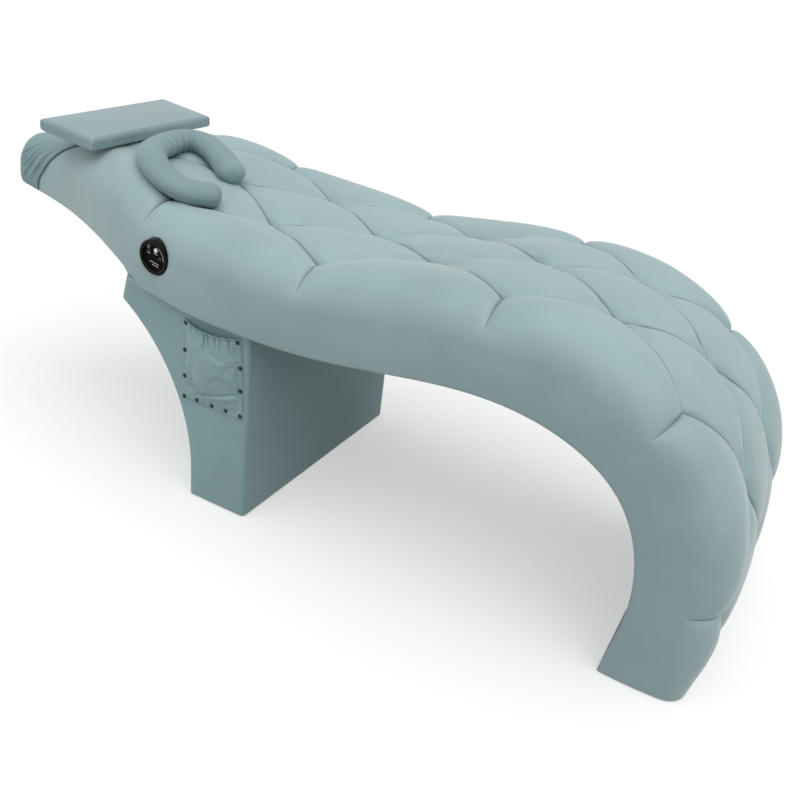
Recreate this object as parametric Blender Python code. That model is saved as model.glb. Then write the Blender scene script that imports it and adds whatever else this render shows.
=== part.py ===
"""Eyelash extension bed: a tufted S-shaped body on a cloth-covered pedestal, metres, +Z up."""
import math

import bmesh
import bpy
import numpy as np
from mathutils import Vector
from mathutils.bvhtree import BVHTree

for old in list(bpy.data.objects):
    bpy.data.objects.remove(old, do_unlink=True)

# Body: the underside line from the head end to the floor at the foot
HALF_LENGTH = 0.9465
UNDER_HEIGHT = 0.541
UNDER_LINE = [
    (-0.99, 1.012),
    (-0.74, 0.9925),
    (-0.528, 0.953),
    (-0.349, 0.872),
    (-0.169, 0.840),
    (0.063, 0.827),
    (0.254, 0.864),
    (0.444, 0.898),
    (0.602, 0.861),
    (0.740, 0.716),
    (0.807, 0.452),
    (0.791, 0.0),
]
# Body: half width and thickness against the share of the underside line
HALF_WIDTH = 0.333
WIDTH_LINE = [(0, 0.41), (0.1, 0.56), (0.25, 0.9), (0.36, 1.0), (0.5, 0.94), (0.7, 0.913), (1, 0.865)]
BODY_DEPTH = 0.184
DEPTH_LINE = [(0, 0.64), (0.1, 0.815), (0.2, 0.97), (0.3, 1.0), (0.65, 1.0), (0.85, 0.955), (1, 0.92)]
CORNER_LINE = [(0, 0.49), (0.4, 0.49), (0.75, 0.49), (0.9, 0.41), (1, 0.26)]
END_ROUND = 0.04
CROWN = 0.006
SIDE_BELLY = 0.002

# Tufting on the lying face
TUFT_PITCH = 0.385
TUFT_FIRST = 0.192
TUFT_STEPS = 8
TUFT_DEPTH = 0.020
SEAM_DEPTH = 0.008
PLEAT_DEPTH = 0.009
TUFT_FROM = 0.34
TUFT_FULL = 0.44
TUFT_END = 0.06

# Layers inside the body
GAP = 0.0003
SIDE_CLEAR = 0.0009
COVER_TOP = 0.042
COVER_SIDE = 0.022
COVER_BEVEL = 0.085
PLY = 0.018
DECK_PLY = 0.0095
UNDER_PLY = 0.005
RAIL_WIDE = 0.040
RAIL_TALL = 0.060
HEAD_RAIL_IN = 0.070
NECK_RAIL_X = -0.60
HIP_RAIL_X = 0.10
KNEE_RAIL_X = 0.46
CALF_RAIL_X = 0.60

# Pedestal
PEDESTAL_FOOT_X = -0.078
PEDESTAL_BASE = 0.157
PEDESTAL_SET_IN = 0.021
PEDESTAL_HALF = HALF_WIDTH - PEDESTAL_SET_IN
FLARE_RADIUS = 0.456
FLARE_START = 0.07
FLARE_TOP = 0.433
SLEEVE_WALL = 0.004
SLEEVE_CORNER = 0.010
SLEEVE_DROP = 0.0025
SIDE_DROP = 0.006
BOARD = 0.018
GLIDE_RADIUS = 0.016
GLIDE_TALL = 0.0027
FLOOR_GAP = GLIDE_TALL + GAP
BOLT_RADIUS = 0.004
BOLT_REACH = 0.05
BOLT_SET_IN = 0.10
BOLT_HEAD_RADIUS = 0.008
BOLT_HEAD_TALL = 0.005
BOLT_FROM_LIP = 0.07
BOLT_FROM_FOOT = 0.06
RAIL_PAST_BOLT = 0.06
TOP_FROM_LIP = 0.03
TOP_FROM_FOOT = 0.004
PANEL_DROP = 0.003
HEAD_PLY = 0.009
GLIDE_SET_IN = 0.03
FOOT_GLIDE_SET_IN = 0.10
FOOT_GLIDE_BACK = 0.045
GLIDE_EDGE = 0.001

# Storage pocket
POCKET_WIDE = 0.166
POCKET_TALL = 0.186
POCKET_INSET = 0.009
POCKET_DROP = 0.020
POCKET_BULGE = 0.020
POCKET_CLOTH = 0.0025
POCKET_FLANGE = 0.013
MOUTH_SAG = 0.010
STUD_RADIUS = 0.0045
STUD_TALL = 0.003
STUD_INSET = 0.0065
STUDS_SIDE = 4
STUDS_BELOW = 3
ELASTIC_RADIUS = 0.0022

# Control
CONTROL_X = -0.333
CONTROL_UP = 0.086
CONTROL_TILT = math.radians(-3)
CONTROL_TURN = 0.0
CONTROL_RADIUS = 0.038
CONTROL_SINK = -0.006
CONTROL_RIM = 0.007
HOUSING_DEEP = 0.014
HOUSING_WALL = 0.0015
PANEL_THICK = 0.002
BEZEL_TALL = 0.006
BUTTON_TRAVEL = 0.001
BUTTON_CLEAR = 0.0004
BUTTON_PROUD = 0.0014
BUTTON_LIP = 0.0012
BUTTON_EDGE = 0.0005
BOARD_THICK = 0.0016
BOARD_SET_IN = 0.006
RECESS_CLEAR = 0.0005
POWER_RADIUS = 0.0048
SMALL_RADIUS = 0.0038

# Head pillow, hood and neck pillow
PILLOW_X = -0.674
PILLOW_Y = -0.016
PILLOW_TURN = math.radians(3.4)
PILLOW_PITCH = math.radians(7.2)
PILLOW_LEAN = 0.009
PILLOW_LONG = 0.150
PILLOW_HALF = 0.211
PILLOW_TALL = 0.026
PILLOW_EDGE = 0.007
PILLOW_BELLY = 0.55
HOOD_CLOTH = 0.0025
HOOD_LOOSE = 0.0009
HOOD_SIDE = 0.095
HOOD_TOP = 0.27
HOOD_SWEEP = 2.4
NECK_WIDE = 0.0325
NECK_TALL = 0.0255
NECK_LINE = [
    (-0.292, -0.184),
    (-0.342, -0.211),
    (-0.400, -0.211),
    (-0.448, -0.186),
    (-0.487, -0.140),
    (-0.508, -0.082),
    (-0.508, -0.028),
    (-0.486, 0.000),
    (-0.447, 0.000),
    (-0.405, -0.012),
    (-0.367, -0.032),
    (-0.345, -0.047),
]

# Motors and inlet
MOTOR_RADIUS = 0.020
MOTOR_TALL = 0.026
MOTOR_EDGE = 0.003
INLET_RADIUS = 0.009
INLET_DEEP = 0.028
INLET_FLANGE = 0.004
INLET_PROUD = 0.003
INLET_X = -0.155
INLET_Z = 0.085


def smooth_line(knots, at):
    """Natural cubic curve through the knots, read at the given places."""
    t = np.array([k[0] for k in knots], float)
    v = np.array([k[1:] for k in knots], float)
    n = len(t)
    h = np.diff(t)
    a = np.eye(n)
    b = np.zeros_like(v)
    for i in range(1, n - 1):
        a[i, i - 1:i + 2] = h[i - 1], 2 * (h[i - 1] + h[i]), h[i]
        b[i] = 6 * ((v[i + 1] - v[i]) / h[i] - (v[i] - v[i - 1]) / h[i - 1])
    m = np.linalg.solve(a, b)
    at = np.asarray(at, float)
    i = np.clip(np.searchsorted(t, at) - 1, 0, n - 2)
    p = ((at - t[i]) / h[i])[:, None]
    q = 1 - p
    hh = (h[i] ** 2 / 6)[:, None]
    return q * v[i] + p * v[i + 1] + hh * ((q ** 3 - q) * m[i] + (p ** 3 - p) * m[i + 1])


# Underside line, its normals, and the outer line that the stations are spaced along
knots = [(HALF_LENGTH * x, FLOOR_GAP + (UNDER_HEIGHT - FLOOR_GAP) * z) for x, z in UNDER_LINE]
chord = np.concatenate([[0], np.cumsum(np.hypot(*np.diff(np.array(knots), axis=0).T))])
FINE = 800
line = smooth_line([(c, *k) for c, k in zip(chord, knots)], np.linspace(0, chord[-1], FINE))
run = np.concatenate([[0], np.cumsum(np.hypot(*np.diff(line, axis=0).T))])
share = run / run[-1]
slope = np.gradient(line, axis=0)
slope /= np.hypot(slope[:, 0], slope[:, 1])[:, None]
normal = np.stack([-slope[:, 1], slope[:, 0]], 1)
level = np.clip((share - 0.88) / 0.1, 0, 1)[:, None]
level = level * level * (3 - 2 * level)
normal = normal * (1 - level) + np.array([1.0, 0.0]) * level
normal /= np.hypot(normal[:, 0], normal[:, 1])[:, None]
half = smooth_line(WIDTH_LINE, share)[:, 0] * HALF_WIDTH
deep = smooth_line(DEPTH_LINE, share)[:, 0] * BODY_DEPTH
corner = smooth_line(CORNER_LINE, share)[:, 0] * deep
outer = line + normal * deep[:, None]
outer_run = np.concatenate([[0], np.cumsum(np.hypot(*np.diff(outer, axis=0).T))])

# Stations along the outer line, with every tuft row and half row on a station
step = TUFT_PITCH / TUFT_STEPS
first = math.ceil((END_ROUND + step / 3 - TUFT_FIRST) / step)
last = math.floor((outer_run[-1] - step / 4 - TUFT_FIRST) / step)
STATIONS = [END_ROUND * f for f in (0, 0.09, 0.34, 1)]
STATIONS += [TUFT_FIRST + k * step for k in range(first, last + 1)] + [float(outer_run[-1])]


def read(values):
    """Values of a fine line at the stations."""
    values = np.atleast_2d(values.T)
    return np.stack([np.interp(STATIONS, outer_run, v) for v in values], 1)


UNDER = read(line)
NORMAL = read(normal)
WIDE = read(half)[:, 0]
DEEP = read(deep)[:, 0]
CORNER = read(corner)[:, 0]


def wide(u):
    return float(np.interp(u, STATIONS, WIDE))


def deep_at(u):
    return float(np.interp(u, STATIONS, DEEP))


def spot(u, y, h):
    """Point at a run along the outer line, across the bed and up from the underside."""
    x = np.interp(u, STATIONS, UNDER[:, 0] + NORMAL[:, 0] * h)
    z = np.interp(u, STATIONS, UNDER[:, 1] + NORMAL[:, 1] * h)
    return Vector((x, y, z))


def run_at(x):
    """Run whose underside lies at x, on the stretch in front of the knee."""
    k = int(np.argmax(UNDER[:, 0]))
    return float(np.interp(x, UNDER[:k, 0], STATIONS[:k]))


def under_z(x):
    return float(np.interp(x, UNDER[:, 0], UNDER[:, 1]))


def top_z(x, y):
    """Height of the lying face in front of the knee, falling away over the rounded edge."""
    k = int(np.argmax(outer[:, 0]))
    z = float(np.interp(x, outer[:k, 0], outer[:k, 1]))
    r = float(np.interp(x, outer[:k, 0], corner[:k]))
    past = abs(y) - float(np.interp(x, outer[:k, 0], half[:k])) + r
    past = min(max(past, 0), r * 0.9)
    return z - (r - math.sqrt(r * r - past * past))


def material(name, colour, rough, metal=0.0):
    m = bpy.data.materials.new(name)
    m.use_nodes = True
    s = m.node_tree.nodes["Principled BSDF"]
    s.inputs["Base Color"].default_value = (*colour, 1)
    s.inputs["Roughness"].default_value = rough
    s.inputs["Metallic"].default_value = metal
    m.diffuse_color = (*colour, 1)
    return m


def add(name, bm, mat, smooth=35.0, origin=None):
    """Close a mesh up as one named object, with its origin where the piece turns or slides."""
    bmesh.ops.remove_doubles(bm, verts=bm.verts, dist=1e-6)
    bmesh.ops.recalc_face_normals(bm, faces=bm.faces)
    shift = Vector(origin) if origin is not None else Vector((0, 0, 0))
    bmesh.ops.translate(bm, verts=bm.verts, vec=-shift)
    mesh = bpy.data.meshes.new(name)
    bm.to_mesh(mesh)
    bm.free()
    mesh.materials.append(mat)
    if smooth:
        mesh.polygons.foreach_set("use_smooth", [True] * len(mesh.polygons))
        mesh.set_sharp_from_angle(angle=math.radians(smooth))
    obj = bpy.data.objects.new(name, mesh)
    obj.location = shift
    bpy.context.scene.collection.objects.link(obj)
    return obj


def loft(rings, caps=True):
    """Skin a list of closed rings with equal counts, flat ends if asked."""
    bm = bmesh.new()
    rows = [[bm.verts.new(p) for p in ring] for ring in rings]
    n = len(rows[0])
    for a, b in zip(rows, rows[1:]):
        for j in range(n):
            bm.faces.new((a[j], a[(j + 1) % n], b[(j + 1) % n], b[j]))
    if caps:
        bm.faces.new(rows[0])
        bm.faces.new(rows[-1])
    return bm


def swept(name, start, stop, section, mat, smooth=0.0):
    """Piece that follows the body between two runs, bending at the stations in between."""
    runs = [start] + [s for s in STATIONS if start + 1e-4 < s < stop - 1e-4] + [stop]
    return add(name, loft([[spot(u, y, h) for y, h in section(u)] for u in runs]), mat, smooth)


def box(name, low, high, mat):
    ring = [(low[0], low[1]), (high[0], low[1]), (high[0], high[1]), (low[0], high[1])]
    return add(name, loft([[Vector((x, y, z)) for x, y in ring] for z in (low[2], high[2])]), mat, 0)


def frame_of(axis, up=(0, 0, 1)):
    """Right and up directions square to an axis."""
    axis = Vector(axis).normalized()
    right = Vector(up).cross(axis).normalized()
    return axis, right, axis.cross(right)


def turned(profile, centre, axis, count, up=(0, 0, 1)):
    """Turn a closed profile of radius and height pairs about an axis."""
    axis, right, top = frame_of(axis, up)
    bm = bmesh.new()
    rows = []
    for k in range(count):
        a = 2 * math.pi * k / count
        d = right * math.cos(a) + top * math.sin(a)
        rows.append([bm.verts.new(Vector(centre) + d * r + axis * t) for r, t in profile])
    n = len(profile)
    for k in range(count):
        a, b = rows[k], rows[(k + 1) % count]
        for j in range(n):
            i = (j + 1) % n
            if profile[j][0] > 0 or profile[i][0] > 0:
                bm.faces.new((a[j], a[i], b[i], b[j]))
    return bm


def cutter(name, radius, low, high, centre, axis, count=24):
    """Hidden round cutter along an axis."""
    bm = turned([(0, low), (radius, low), (radius, high), (0, high)], centre, axis, count)
    obj = add(name, bm, CUT, 0)
    obj.hide_render = True
    obj.display_type = "WIRE"
    return obj


def cut(obj, tool):
    mod = obj.modifiers.new(tool.name, "BOOLEAN")
    mod.operation = "DIFFERENCE"
    mod.solver = "EXACT"
    mod.object = tool


def tree_of(bm):
    """Search tree of a mesh in world places."""
    return BVHTree.FromBMesh(bm)


def drop(tree, x, y, default):
    """Height of a piece straight below a place high over it."""
    hit = tree.ray_cast(Vector((x, y, 2.0)), Vector((0, 0, -1)))[0]
    return default if hit is None else hit.z


def seat_on(bm, below):
    """Lower or raise a piece until it rests a hair above the one below it."""
    own = tree_of(bm)
    down = Vector((0, 0, -1))
    reach = 0.1
    room = []
    for v in bm.verts:
        hit = below[0].ray_cast(v.co + Vector((0, 0, reach)), down)[0]
        if hit is not None:
            room.append(v.co.z - hit.z)
    for p in below[1]:
        hit = own.ray_cast(p - Vector((0, 0, reach)), -down)[0]
        if hit is not None:
            room.append(hit.z - p.z)
    bmesh.ops.translate(bm, verts=bm.verts, vec=(0, 0, GAP - min(room)))


CUT = material("cutter", (0.8, 0.2, 0.2), 0.5)
CLOTH = material("body_leatherette", (0.36, 0.46, 0.48), 0.62)
PED_CLOTH = material("pedestal_leatherette", (0.34, 0.44, 0.46), 0.62)
PILLOW_CLOTH = material("pillow_leatherette", (0.36, 0.46, 0.48), 0.62)
HOOD_MAT = material("hood_cloth", (0.36, 0.46, 0.48), 0.66)
NECK_MAT = material("neck_pillow_cloth", (0.34, 0.44, 0.46), 0.62)
POCKET_MAT = material("pocket_cloth", (0.35, 0.45, 0.47), 0.62)
ELASTIC_MAT = material("pocket_elastic", (0.30, 0.40, 0.42), 0.7)
FOAM = material("foam", (0.86, 0.83, 0.70), 0.9)
WOOD = material("birch_ply", (0.72, 0.56, 0.37), 0.6)
PINE = material("pine_rail", (0.76, 0.60, 0.40), 0.6)
HARDBOARD = material("hardboard", (0.25, 0.20, 0.16), 0.7)
STEEL = material("zinc_steel", (0.66, 0.66, 0.68), 0.35, 1.0)
FELT = material("glide_nylon", (0.06, 0.06, 0.065), 0.6)
STUD_MAT = material("stud_metal", (0.05, 0.045, 0.05), 0.35, 0.8)
GLOSS = material("control_gloss", (0.012, 0.012, 0.013), 0.12)
FACE_MAT = material("control_face", (0.015, 0.015, 0.017), 0.25)
HOUSE_MAT = material("control_housing", (0.05, 0.05, 0.055), 0.5)
BOARD_MAT = material("circuit_board", (0.02, 0.16, 0.07), 0.5)
WHITE_KEY = material("white_key", (0.85, 0.86, 0.86), 0.35)
BLACK_KEY = material("black_key", (0.03, 0.03, 0.033), 0.3)
MOTOR_MAT = material("motor_case", (0.10, 0.10, 0.11), 0.45)
INLET_MAT = material("inlet_plastic", (0.03, 0.03, 0.03), 0.4)


def end_inset(u):
    """How far the rounded head end has drawn in at a run."""
    return END_ROUND - math.sqrt(max(END_ROUND ** 2 - max(END_ROUND - u, 0) ** 2, 0))


def fade(u):
    """Share of the tufting that shows: none under the head pillow and hood, none at the floor."""
    a = min(max((u - TUFT_FROM) / (TUFT_FULL - TUFT_FROM), 0), 1)
    b = min(max((STATIONS[-1] - u) / TUFT_END, 0), 1)
    return a * b


def edge_y(u, grow=0.0):
    """Half width of the flat top and the corner radius at a run."""
    r = float(np.interp(u, STATIONS, CORNER))
    return wide(u) - end_inset(u) - r, r + grow


def side_points(u, grow=0.0, pleat=0.0):
    """Near side of the section from the bottom edge up to the start of the top."""
    e = end_inset(u)
    flat, r = edge_y(u, grow)
    top = deep_at(u) - e - CROWN + grow
    mid = top - r
    s = math.sqrt(0.5)
    low = e * 0.5
    return [
        (-(flat + r - SIDE_BELLY), low),
        (-(flat + r + SIDE_BELLY * (1 - e / END_ROUND)), low + (mid - low) * 0.5),
        (-(flat + r - pleat * 0.4), mid),
        (-(flat + (r - pleat) * s), mid + (r - pleat) * s),
    ]


def tuft_lines(u):
    """Heights and places of the lattice lines across the top at a run."""
    flat, r = edge_y(u)
    e = end_inset(u)
    k = ((u - TUFT_FIRST) / TUFT_PITCH) % 1.0
    tri = 1 - abs(2 * k - 1)
    knot = abs(2 * tri - 1) ** 3
    seam = (SEAM_DEPTH + (TUFT_DEPTH - SEAM_DEPTH) * knot) * fade(u)
    edge = TUFT_DEPTH * fade(u) * max(0, 1 - tri * 4)
    z0 = -flat + flat / 2 * tri
    z1 = -flat / 2 * tri
    open0 = tri
    open1 = 1 - tri
    lines = [
        (-flat, edge),
        ((z0 - flat) / 2, seam * (1 - open0) ** 1.5),
        (z0, seam),
        ((z0 + z1) / 2, seam * (1 - open1) ** 1.5),
        (z1, seam),
        (0.0, seam * (1 - open0) ** 1.5),
    ]
    lines += [(-y, d) for y, d in lines[-2::-1]]
    top = deep_at(u) - e
    return [(y, top - CROWN * (y / flat) ** 2 - d) for y, d in lines]


def cover_section(u):
    k = ((u - TUFT_FIRST) / TUFT_PITCH + 0.5) % 1.0 - 0.5
    pleat = PLEAT_DEPTH * fade(u) if abs(k) < 0.02 else 0.0
    near = side_points(u, 0.0, pleat)
    return near + tuft_lines(u) + [(-y, h) for y, h in near[::-1]]


def cavity(u, loose=0.0):
    """Inside of the cover: upright sides, sloped corners and a flat top."""
    w = wide(u) - COVER_SIDE - loose
    d = deep_at(u)
    top = d - COVER_TOP - loose
    cheek = wide(u) - COVER_BEVEL - loose
    side = d - COVER_BEVEL - loose
    near = [(-w, 0.0), (-w, side), (-cheek, top)]
    return near + [(-y, h) for y, h in near[::-1]]


def bridge(bm, a, b):
    """Fill between two open rows of vertices, always across the shorter diagonal."""
    i = 0
    j = 0
    while i < len(a) - 1 or j < len(b) - 1:
        ahead = (a[i + 1].co - b[j].co).length if i < len(a) - 1 else math.inf
        beside = (a[i].co - b[j + 1].co).length if j < len(b) - 1 else math.inf
        if ahead <= beside:
            bm.faces.new((a[i], a[i + 1], b[j]))
            i += 1
        else:
            bm.faces.new((a[i], b[j + 1], b[j]))
            j += 1


def build_cover():
    """Tufted cover with its wadding: one closed skin over the head end, open below and at the foot."""
    bm = bmesh.new()
    skin = [[bm.verts.new(spot(u, y, h)) for y, h in cover_section(u)] for u in STATIONS]
    c = 3
    hollow = [[bm.verts.new(spot(u, y, h)) for y, h in cavity(u)] for u in STATIONS[c:]]
    for rows in (skin, hollow):
        for a, b in zip(rows, rows[1:]):
            for j in range(len(a) - 1):
                bm.faces.new((a[j], a[j + 1], b[j + 1], b[j]))
    for k in range(len(hollow) - 1):
        for s, h in ((0, 0), (-1, -1)):
            bm.faces.new((skin[c + k][s], skin[c + k + 1][s], hollow[k + 1][h], hollow[k][h]))
    for k in range(c - 1):
        bm.faces.new((skin[k][0], skin[k + 1][0], skin[k + 1][-1], skin[k][-1]))
    bm.faces.new((skin[c - 1][0], skin[c][0], hollow[0][0], hollow[0][-1], skin[c][-1], skin[c - 1][-1]))
    bm.faces.new(hollow[0])
    bm.faces.new(skin[0])
    bridge(bm, skin[-1], hollow[-1])
    ground = (tree_of(bm), [v.co.copy() for v in bm.verts])
    return add("quilted_cover", bm, CLOTH, 50), ground


cover, LYING_FACE = build_cover()

# Layers under the cover, all bending with it
INNER_FROM = END_ROUND + GAP
FOOT_END = STATIONS[-1]


def level_deck(u):
    return deep_at(u) - COVER_BEVEL - GAP


def cavity_foam(u):
    d = deep_at(u)
    low = d - COVER_BEVEL
    w = wide(u) - COVER_SIDE - SIDE_CLEAR
    cheek = wide(u) - COVER_BEVEL - SIDE_CLEAR
    top = d - COVER_TOP - GAP
    lift = low + GAP
    return [(-w, low), (-w, lift), (-cheek, top), (cheek, top), (w, lift), (w, low)]


def slab(low, high, loose):
    def section(u):
        w = wide(u) - COVER_SIDE - loose
        return [(-w, low(u)), (-w, high(u)), (w, high(u)), (w, low(u))]
    return section


def deck_low(u):
    return level_deck(u) - DECK_PLY


swept("top_foam", INNER_FROM, FOOT_END, cavity_foam, FOAM)
swept("deck_board", INNER_FROM, FOOT_END, slab(deck_low, level_deck, SIDE_CLEAR), WOOD)
under_panel = swept(
    "underside_panel", INNER_FROM, FOOT_END, slab(lambda u: 0.0, lambda u: UNDER_PLY, SIDE_CLEAR), HARDBOARD
)


def side_panel(sign):
    def section(u):
        a = (wide(u) - COVER_SIDE - SIDE_CLEAR) * sign
        b = a - PLY * sign
        low = UNDER_PLY + GAP
        high = deck_low(u) - GAP
        return [(a, low), (a, high), (b, high), (b, low)]
    return section


swept("frame_side_near", INNER_FROM, FOOT_END, side_panel(-1), WOOD)
swept("frame_side_far", INNER_FROM, FOOT_END, side_panel(1), WOOD)


def rail(name, middle, low=None, reach=None):
    """Cross rail between the side panels, against the deck unless it stands on the underside panel."""
    a = min(max(middle - RAIL_WIDE / 2, INNER_FROM), FOOT_END - RAIL_WIDE)
    b = a + RAIL_WIDE
    w = min(wide(a), wide(b)) - COVER_SIDE - PLY - SIDE_CLEAR - 2 * GAP
    w = w if reach is None else min(reach, w)

    def section(u):
        top = deck_low(u) - GAP
        base = max(UNDER_PLY + GAP, top - RAIL_TALL)
        if low is not None:
            base = UNDER_PLY + GAP
            top = base + low
        return [(-w, base), (-w, top), (w, top), (w, base)]
    return swept(name, a, b, section, PINE)


PEDESTAL_HEAD_TOP = PEDESTAL_FOOT_X - PEDESTAL_BASE - (
    FLARE_RADIUS - math.sqrt(FLARE_RADIUS ** 2 - (FLARE_TOP - FLARE_START) ** 2)
)
PANEL_OUT = SLEEVE_WALL + 2 * GAP
INSIDE = PEDESTAL_HALF - PANEL_OUT - PLY - GAP
BOLT_Y = INSIDE - BOLT_SET_IN
BOLT_RUNS = [run_at(PEDESTAL_HEAD_TOP + BOLT_FROM_LIP), run_at(PEDESTAL_FOOT_X - BOLT_FROM_FOOT)]
rail("head_rail", HEAD_RAIL_IN)
rail("neck_rail", run_at(NECK_RAIL_X))
head_rail = rail("pedestal_head_rail", BOLT_RUNS[0], RAIL_TALL, BOLT_Y + RAIL_PAST_BOLT)
foot_rail = rail("pedestal_foot_rail", BOLT_RUNS[1], RAIL_TALL, BOLT_Y + RAIL_PAST_BOLT)
rail("hip_rail", run_at(HIP_RAIL_X))
rail("knee_rail", run_at(KNEE_RAIL_X))
rail("calf_rail", 0.5 * (run_at(CALF_RAIL_X) + FOOT_END))
rail("foot_rail", FOOT_END)

# Pedestal: head side line, flared by an arc, and the tops of its boards under the body
PEDESTAL_TAIL = PEDESTAL_FOOT_X - PEDESTAL_BASE
PED_ROWS = [0.0, FLARE_START] + [FLARE_START + (FLARE_TOP - FLARE_START) * k / 8 for k in range(1, 9)]


def flare_x(z, inset):
    """Head side of the pedestal at a height, drawn in square to the curve."""
    d = min(max(z - FLARE_START, 0), FLARE_TOP - FLARE_START)
    r = FLARE_RADIUS
    lean = math.sqrt(r * r - d * d) / r
    return PEDESTAL_TAIL - (r - math.sqrt(r * r - d * d)) + inset / lean


def pedestal_rows(inset, top_drop):
    """Head and foot side points of each level, the last one under the body."""
    foot = PEDESTAL_FOOT_X - inset
    rows = []
    for z in PED_ROWS:
        z = max(z, FLOOR_GAP)
        share_up = (z - FLOOR_GAP) / (FLARE_TOP - FLOOR_GAP)
        foot_top = under_z(foot) - top_drop - 0.012
        rows.append((flare_x(z, inset), z, foot, FLOOR_GAP + (foot_top - FLOOR_GAP) * share_up))
    x = rows[-1][0]
    rows.append((x, under_z(x) - top_drop, foot, under_z(foot) - top_drop))
    return rows


def sleeve_ring(row, inset, last_row, top_drop):
    """One level of the cloth sleeve round the pedestal."""
    xh, zh, xf, zf = row
    r = SLEEVE_CORNER if inset == 0 else GAP
    w = PEDESTAL_HALF - inset
    plan = []
    arc = [math.radians(a) for a in (0, 45, 90)]
    plan += [(xf - r + r * math.sin(a), -(w - r) - r * math.cos(a)) for a in arc]
    plan += [(xf - r + r * math.cos(a), (w - r) + r * math.sin(a)) for a in arc]
    face = [xf + (xh - xf) * k / 7 for k in range(1, 7)]
    plan += [(x, w) for x in face]
    plan += [(xh + r - r * math.sin(a), (w - r) + r * math.cos(a)) for a in arc]
    plan += [(xh + r - r * math.cos(a), -(w - r) - r * math.sin(a)) for a in arc]
    plan += [(x, -w) for x in face[::-1]]
    ring = []
    for x, y in plan:
        z = zh + (zf - zh) * (x - xh) / (xf - xh)
        if last_row:
            z = under_z(x) - top_drop
        ring.append(Vector((x, y, z)))
    return ring


def build_sleeve():
    bm = bmesh.new()
    skins = []
    for inset in (0.0, SLEEVE_WALL):
        rows = pedestal_rows(inset, SLEEVE_DROP)
        rings = [sleeve_ring(r, inset, k == len(rows) - 1, SLEEVE_DROP) for k, r in enumerate(rows)]
        skins.append([[bm.verts.new(p) for p in ring] for ring in rings])
    n = len(skins[0][0])
    for rows in skins:
        for a, b in zip(rows, rows[1:]):
            for j in range(n):
                bm.faces.new((a[j], a[(j + 1) % n], b[(j + 1) % n], b[j]))
    for k in (0, -1):
        a, b = skins[0][k], skins[1][k]
        for j in range(n):
            bm.faces.new((a[j], a[(j + 1) % n], b[(j + 1) % n], b[j]))
    return add("pedestal_cover", bm, PED_CLOTH, 40)


sleeve = build_sleeve()


def top_breaks(a, b):
    """Places between two ends where the underside bends."""
    return [float(x) for x in UNDER[:, 0] if a + 1e-4 < x < b - 1e-4 and x < 0.3]


def pedestal_side(name, sign):
    """Ply side of the pedestal, its top edge following the body."""
    rows = pedestal_rows(PANEL_OUT, SIDE_DROP)
    outline = [(r[0], r[1]) for r in rows]
    end = rows[-1][2]
    for x in top_breaks(rows[-1][0], end) + [end]:
        outline.append((x, under_z(x) - SIDE_DROP))
    outline.append((end, FLOOR_GAP))
    y = sorted((PEDESTAL_HALF - PANEL_OUT - d) * sign for d in (0, PLY))
    bm = loft([[Vector((x, v, z)) for x, z in outline] for v in y])
    return add(name, bm, WOOD, 0)


pedestal_side("pedestal_side_near", -1)
far_side = pedestal_side("pedestal_side_far", 1)


def top_board_low(x):
    return under_z(x) - BOARD - 3 * GAP


FOOT_PANEL_X = PEDESTAL_FOOT_X - PANEL_OUT
foot_panel_top = top_board_low(FOOT_PANEL_X) - PANEL_DROP
box(
    "pedestal_foot_panel",
    (FOOT_PANEL_X - BOARD, -INSIDE, FLOOR_GAP),
    (FOOT_PANEL_X, INSIDE, foot_panel_top),
    WOOD,
)
BASE_LOW = FLOOR_GAP
BASE_HIGH = FLOOR_GAP + BOARD


def head_panel():
    """Bent ply inside the flare, standing on the floor beside the base board."""
    levels = [max(z, FLOOR_GAP) for z in PED_ROWS]
    front = [(flare_x(z, PANEL_OUT), z) for z in levels]
    back = [(flare_x(z, PANEL_OUT + HEAD_PLY), z) for z in levels]
    ring = front + back[::-1]
    bm = loft([[Vector((x, y, z)) for x, z in ring] for y in (-INSIDE, INSIDE)], caps=False)
    bm.verts.ensure_lookup_table()
    n = len(ring)
    for side in (0, 1):
        v = [bm.verts[side * n + k] for k in range(n)]
        for k in range(len(levels) - 1):
            bm.faces.new((v[k], v[k + 1], v[n - 2 - k], v[n - 1 - k]))
    return add("pedestal_head_panel", bm, WOOD, 0)


head_panel()
BASE_TAIL = flare_x(BASE_HIGH, PANEL_OUT + HEAD_PLY) + GAP
box(
    "pedestal_base_board",
    (BASE_TAIL, -INSIDE, BASE_LOW),
    (FOOT_PANEL_X - BOARD - GAP, INSIDE, BASE_HIGH),
    WOOD,
)


def top_board(u):
    return [(-INSIDE, -BOARD - GAP), (-INSIDE, -GAP), (INSIDE, -GAP), (INSIDE, -BOARD - GAP)]


TOP_FROM = run_at(PEDESTAL_HEAD_TOP + TOP_FROM_LIP)
TOP_TO = run_at(FOOT_PANEL_X - TOP_FROM_FOOT)
ped_top = swept("pedestal_top_board", TOP_FROM, TOP_TO, top_board, WOOD)

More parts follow.
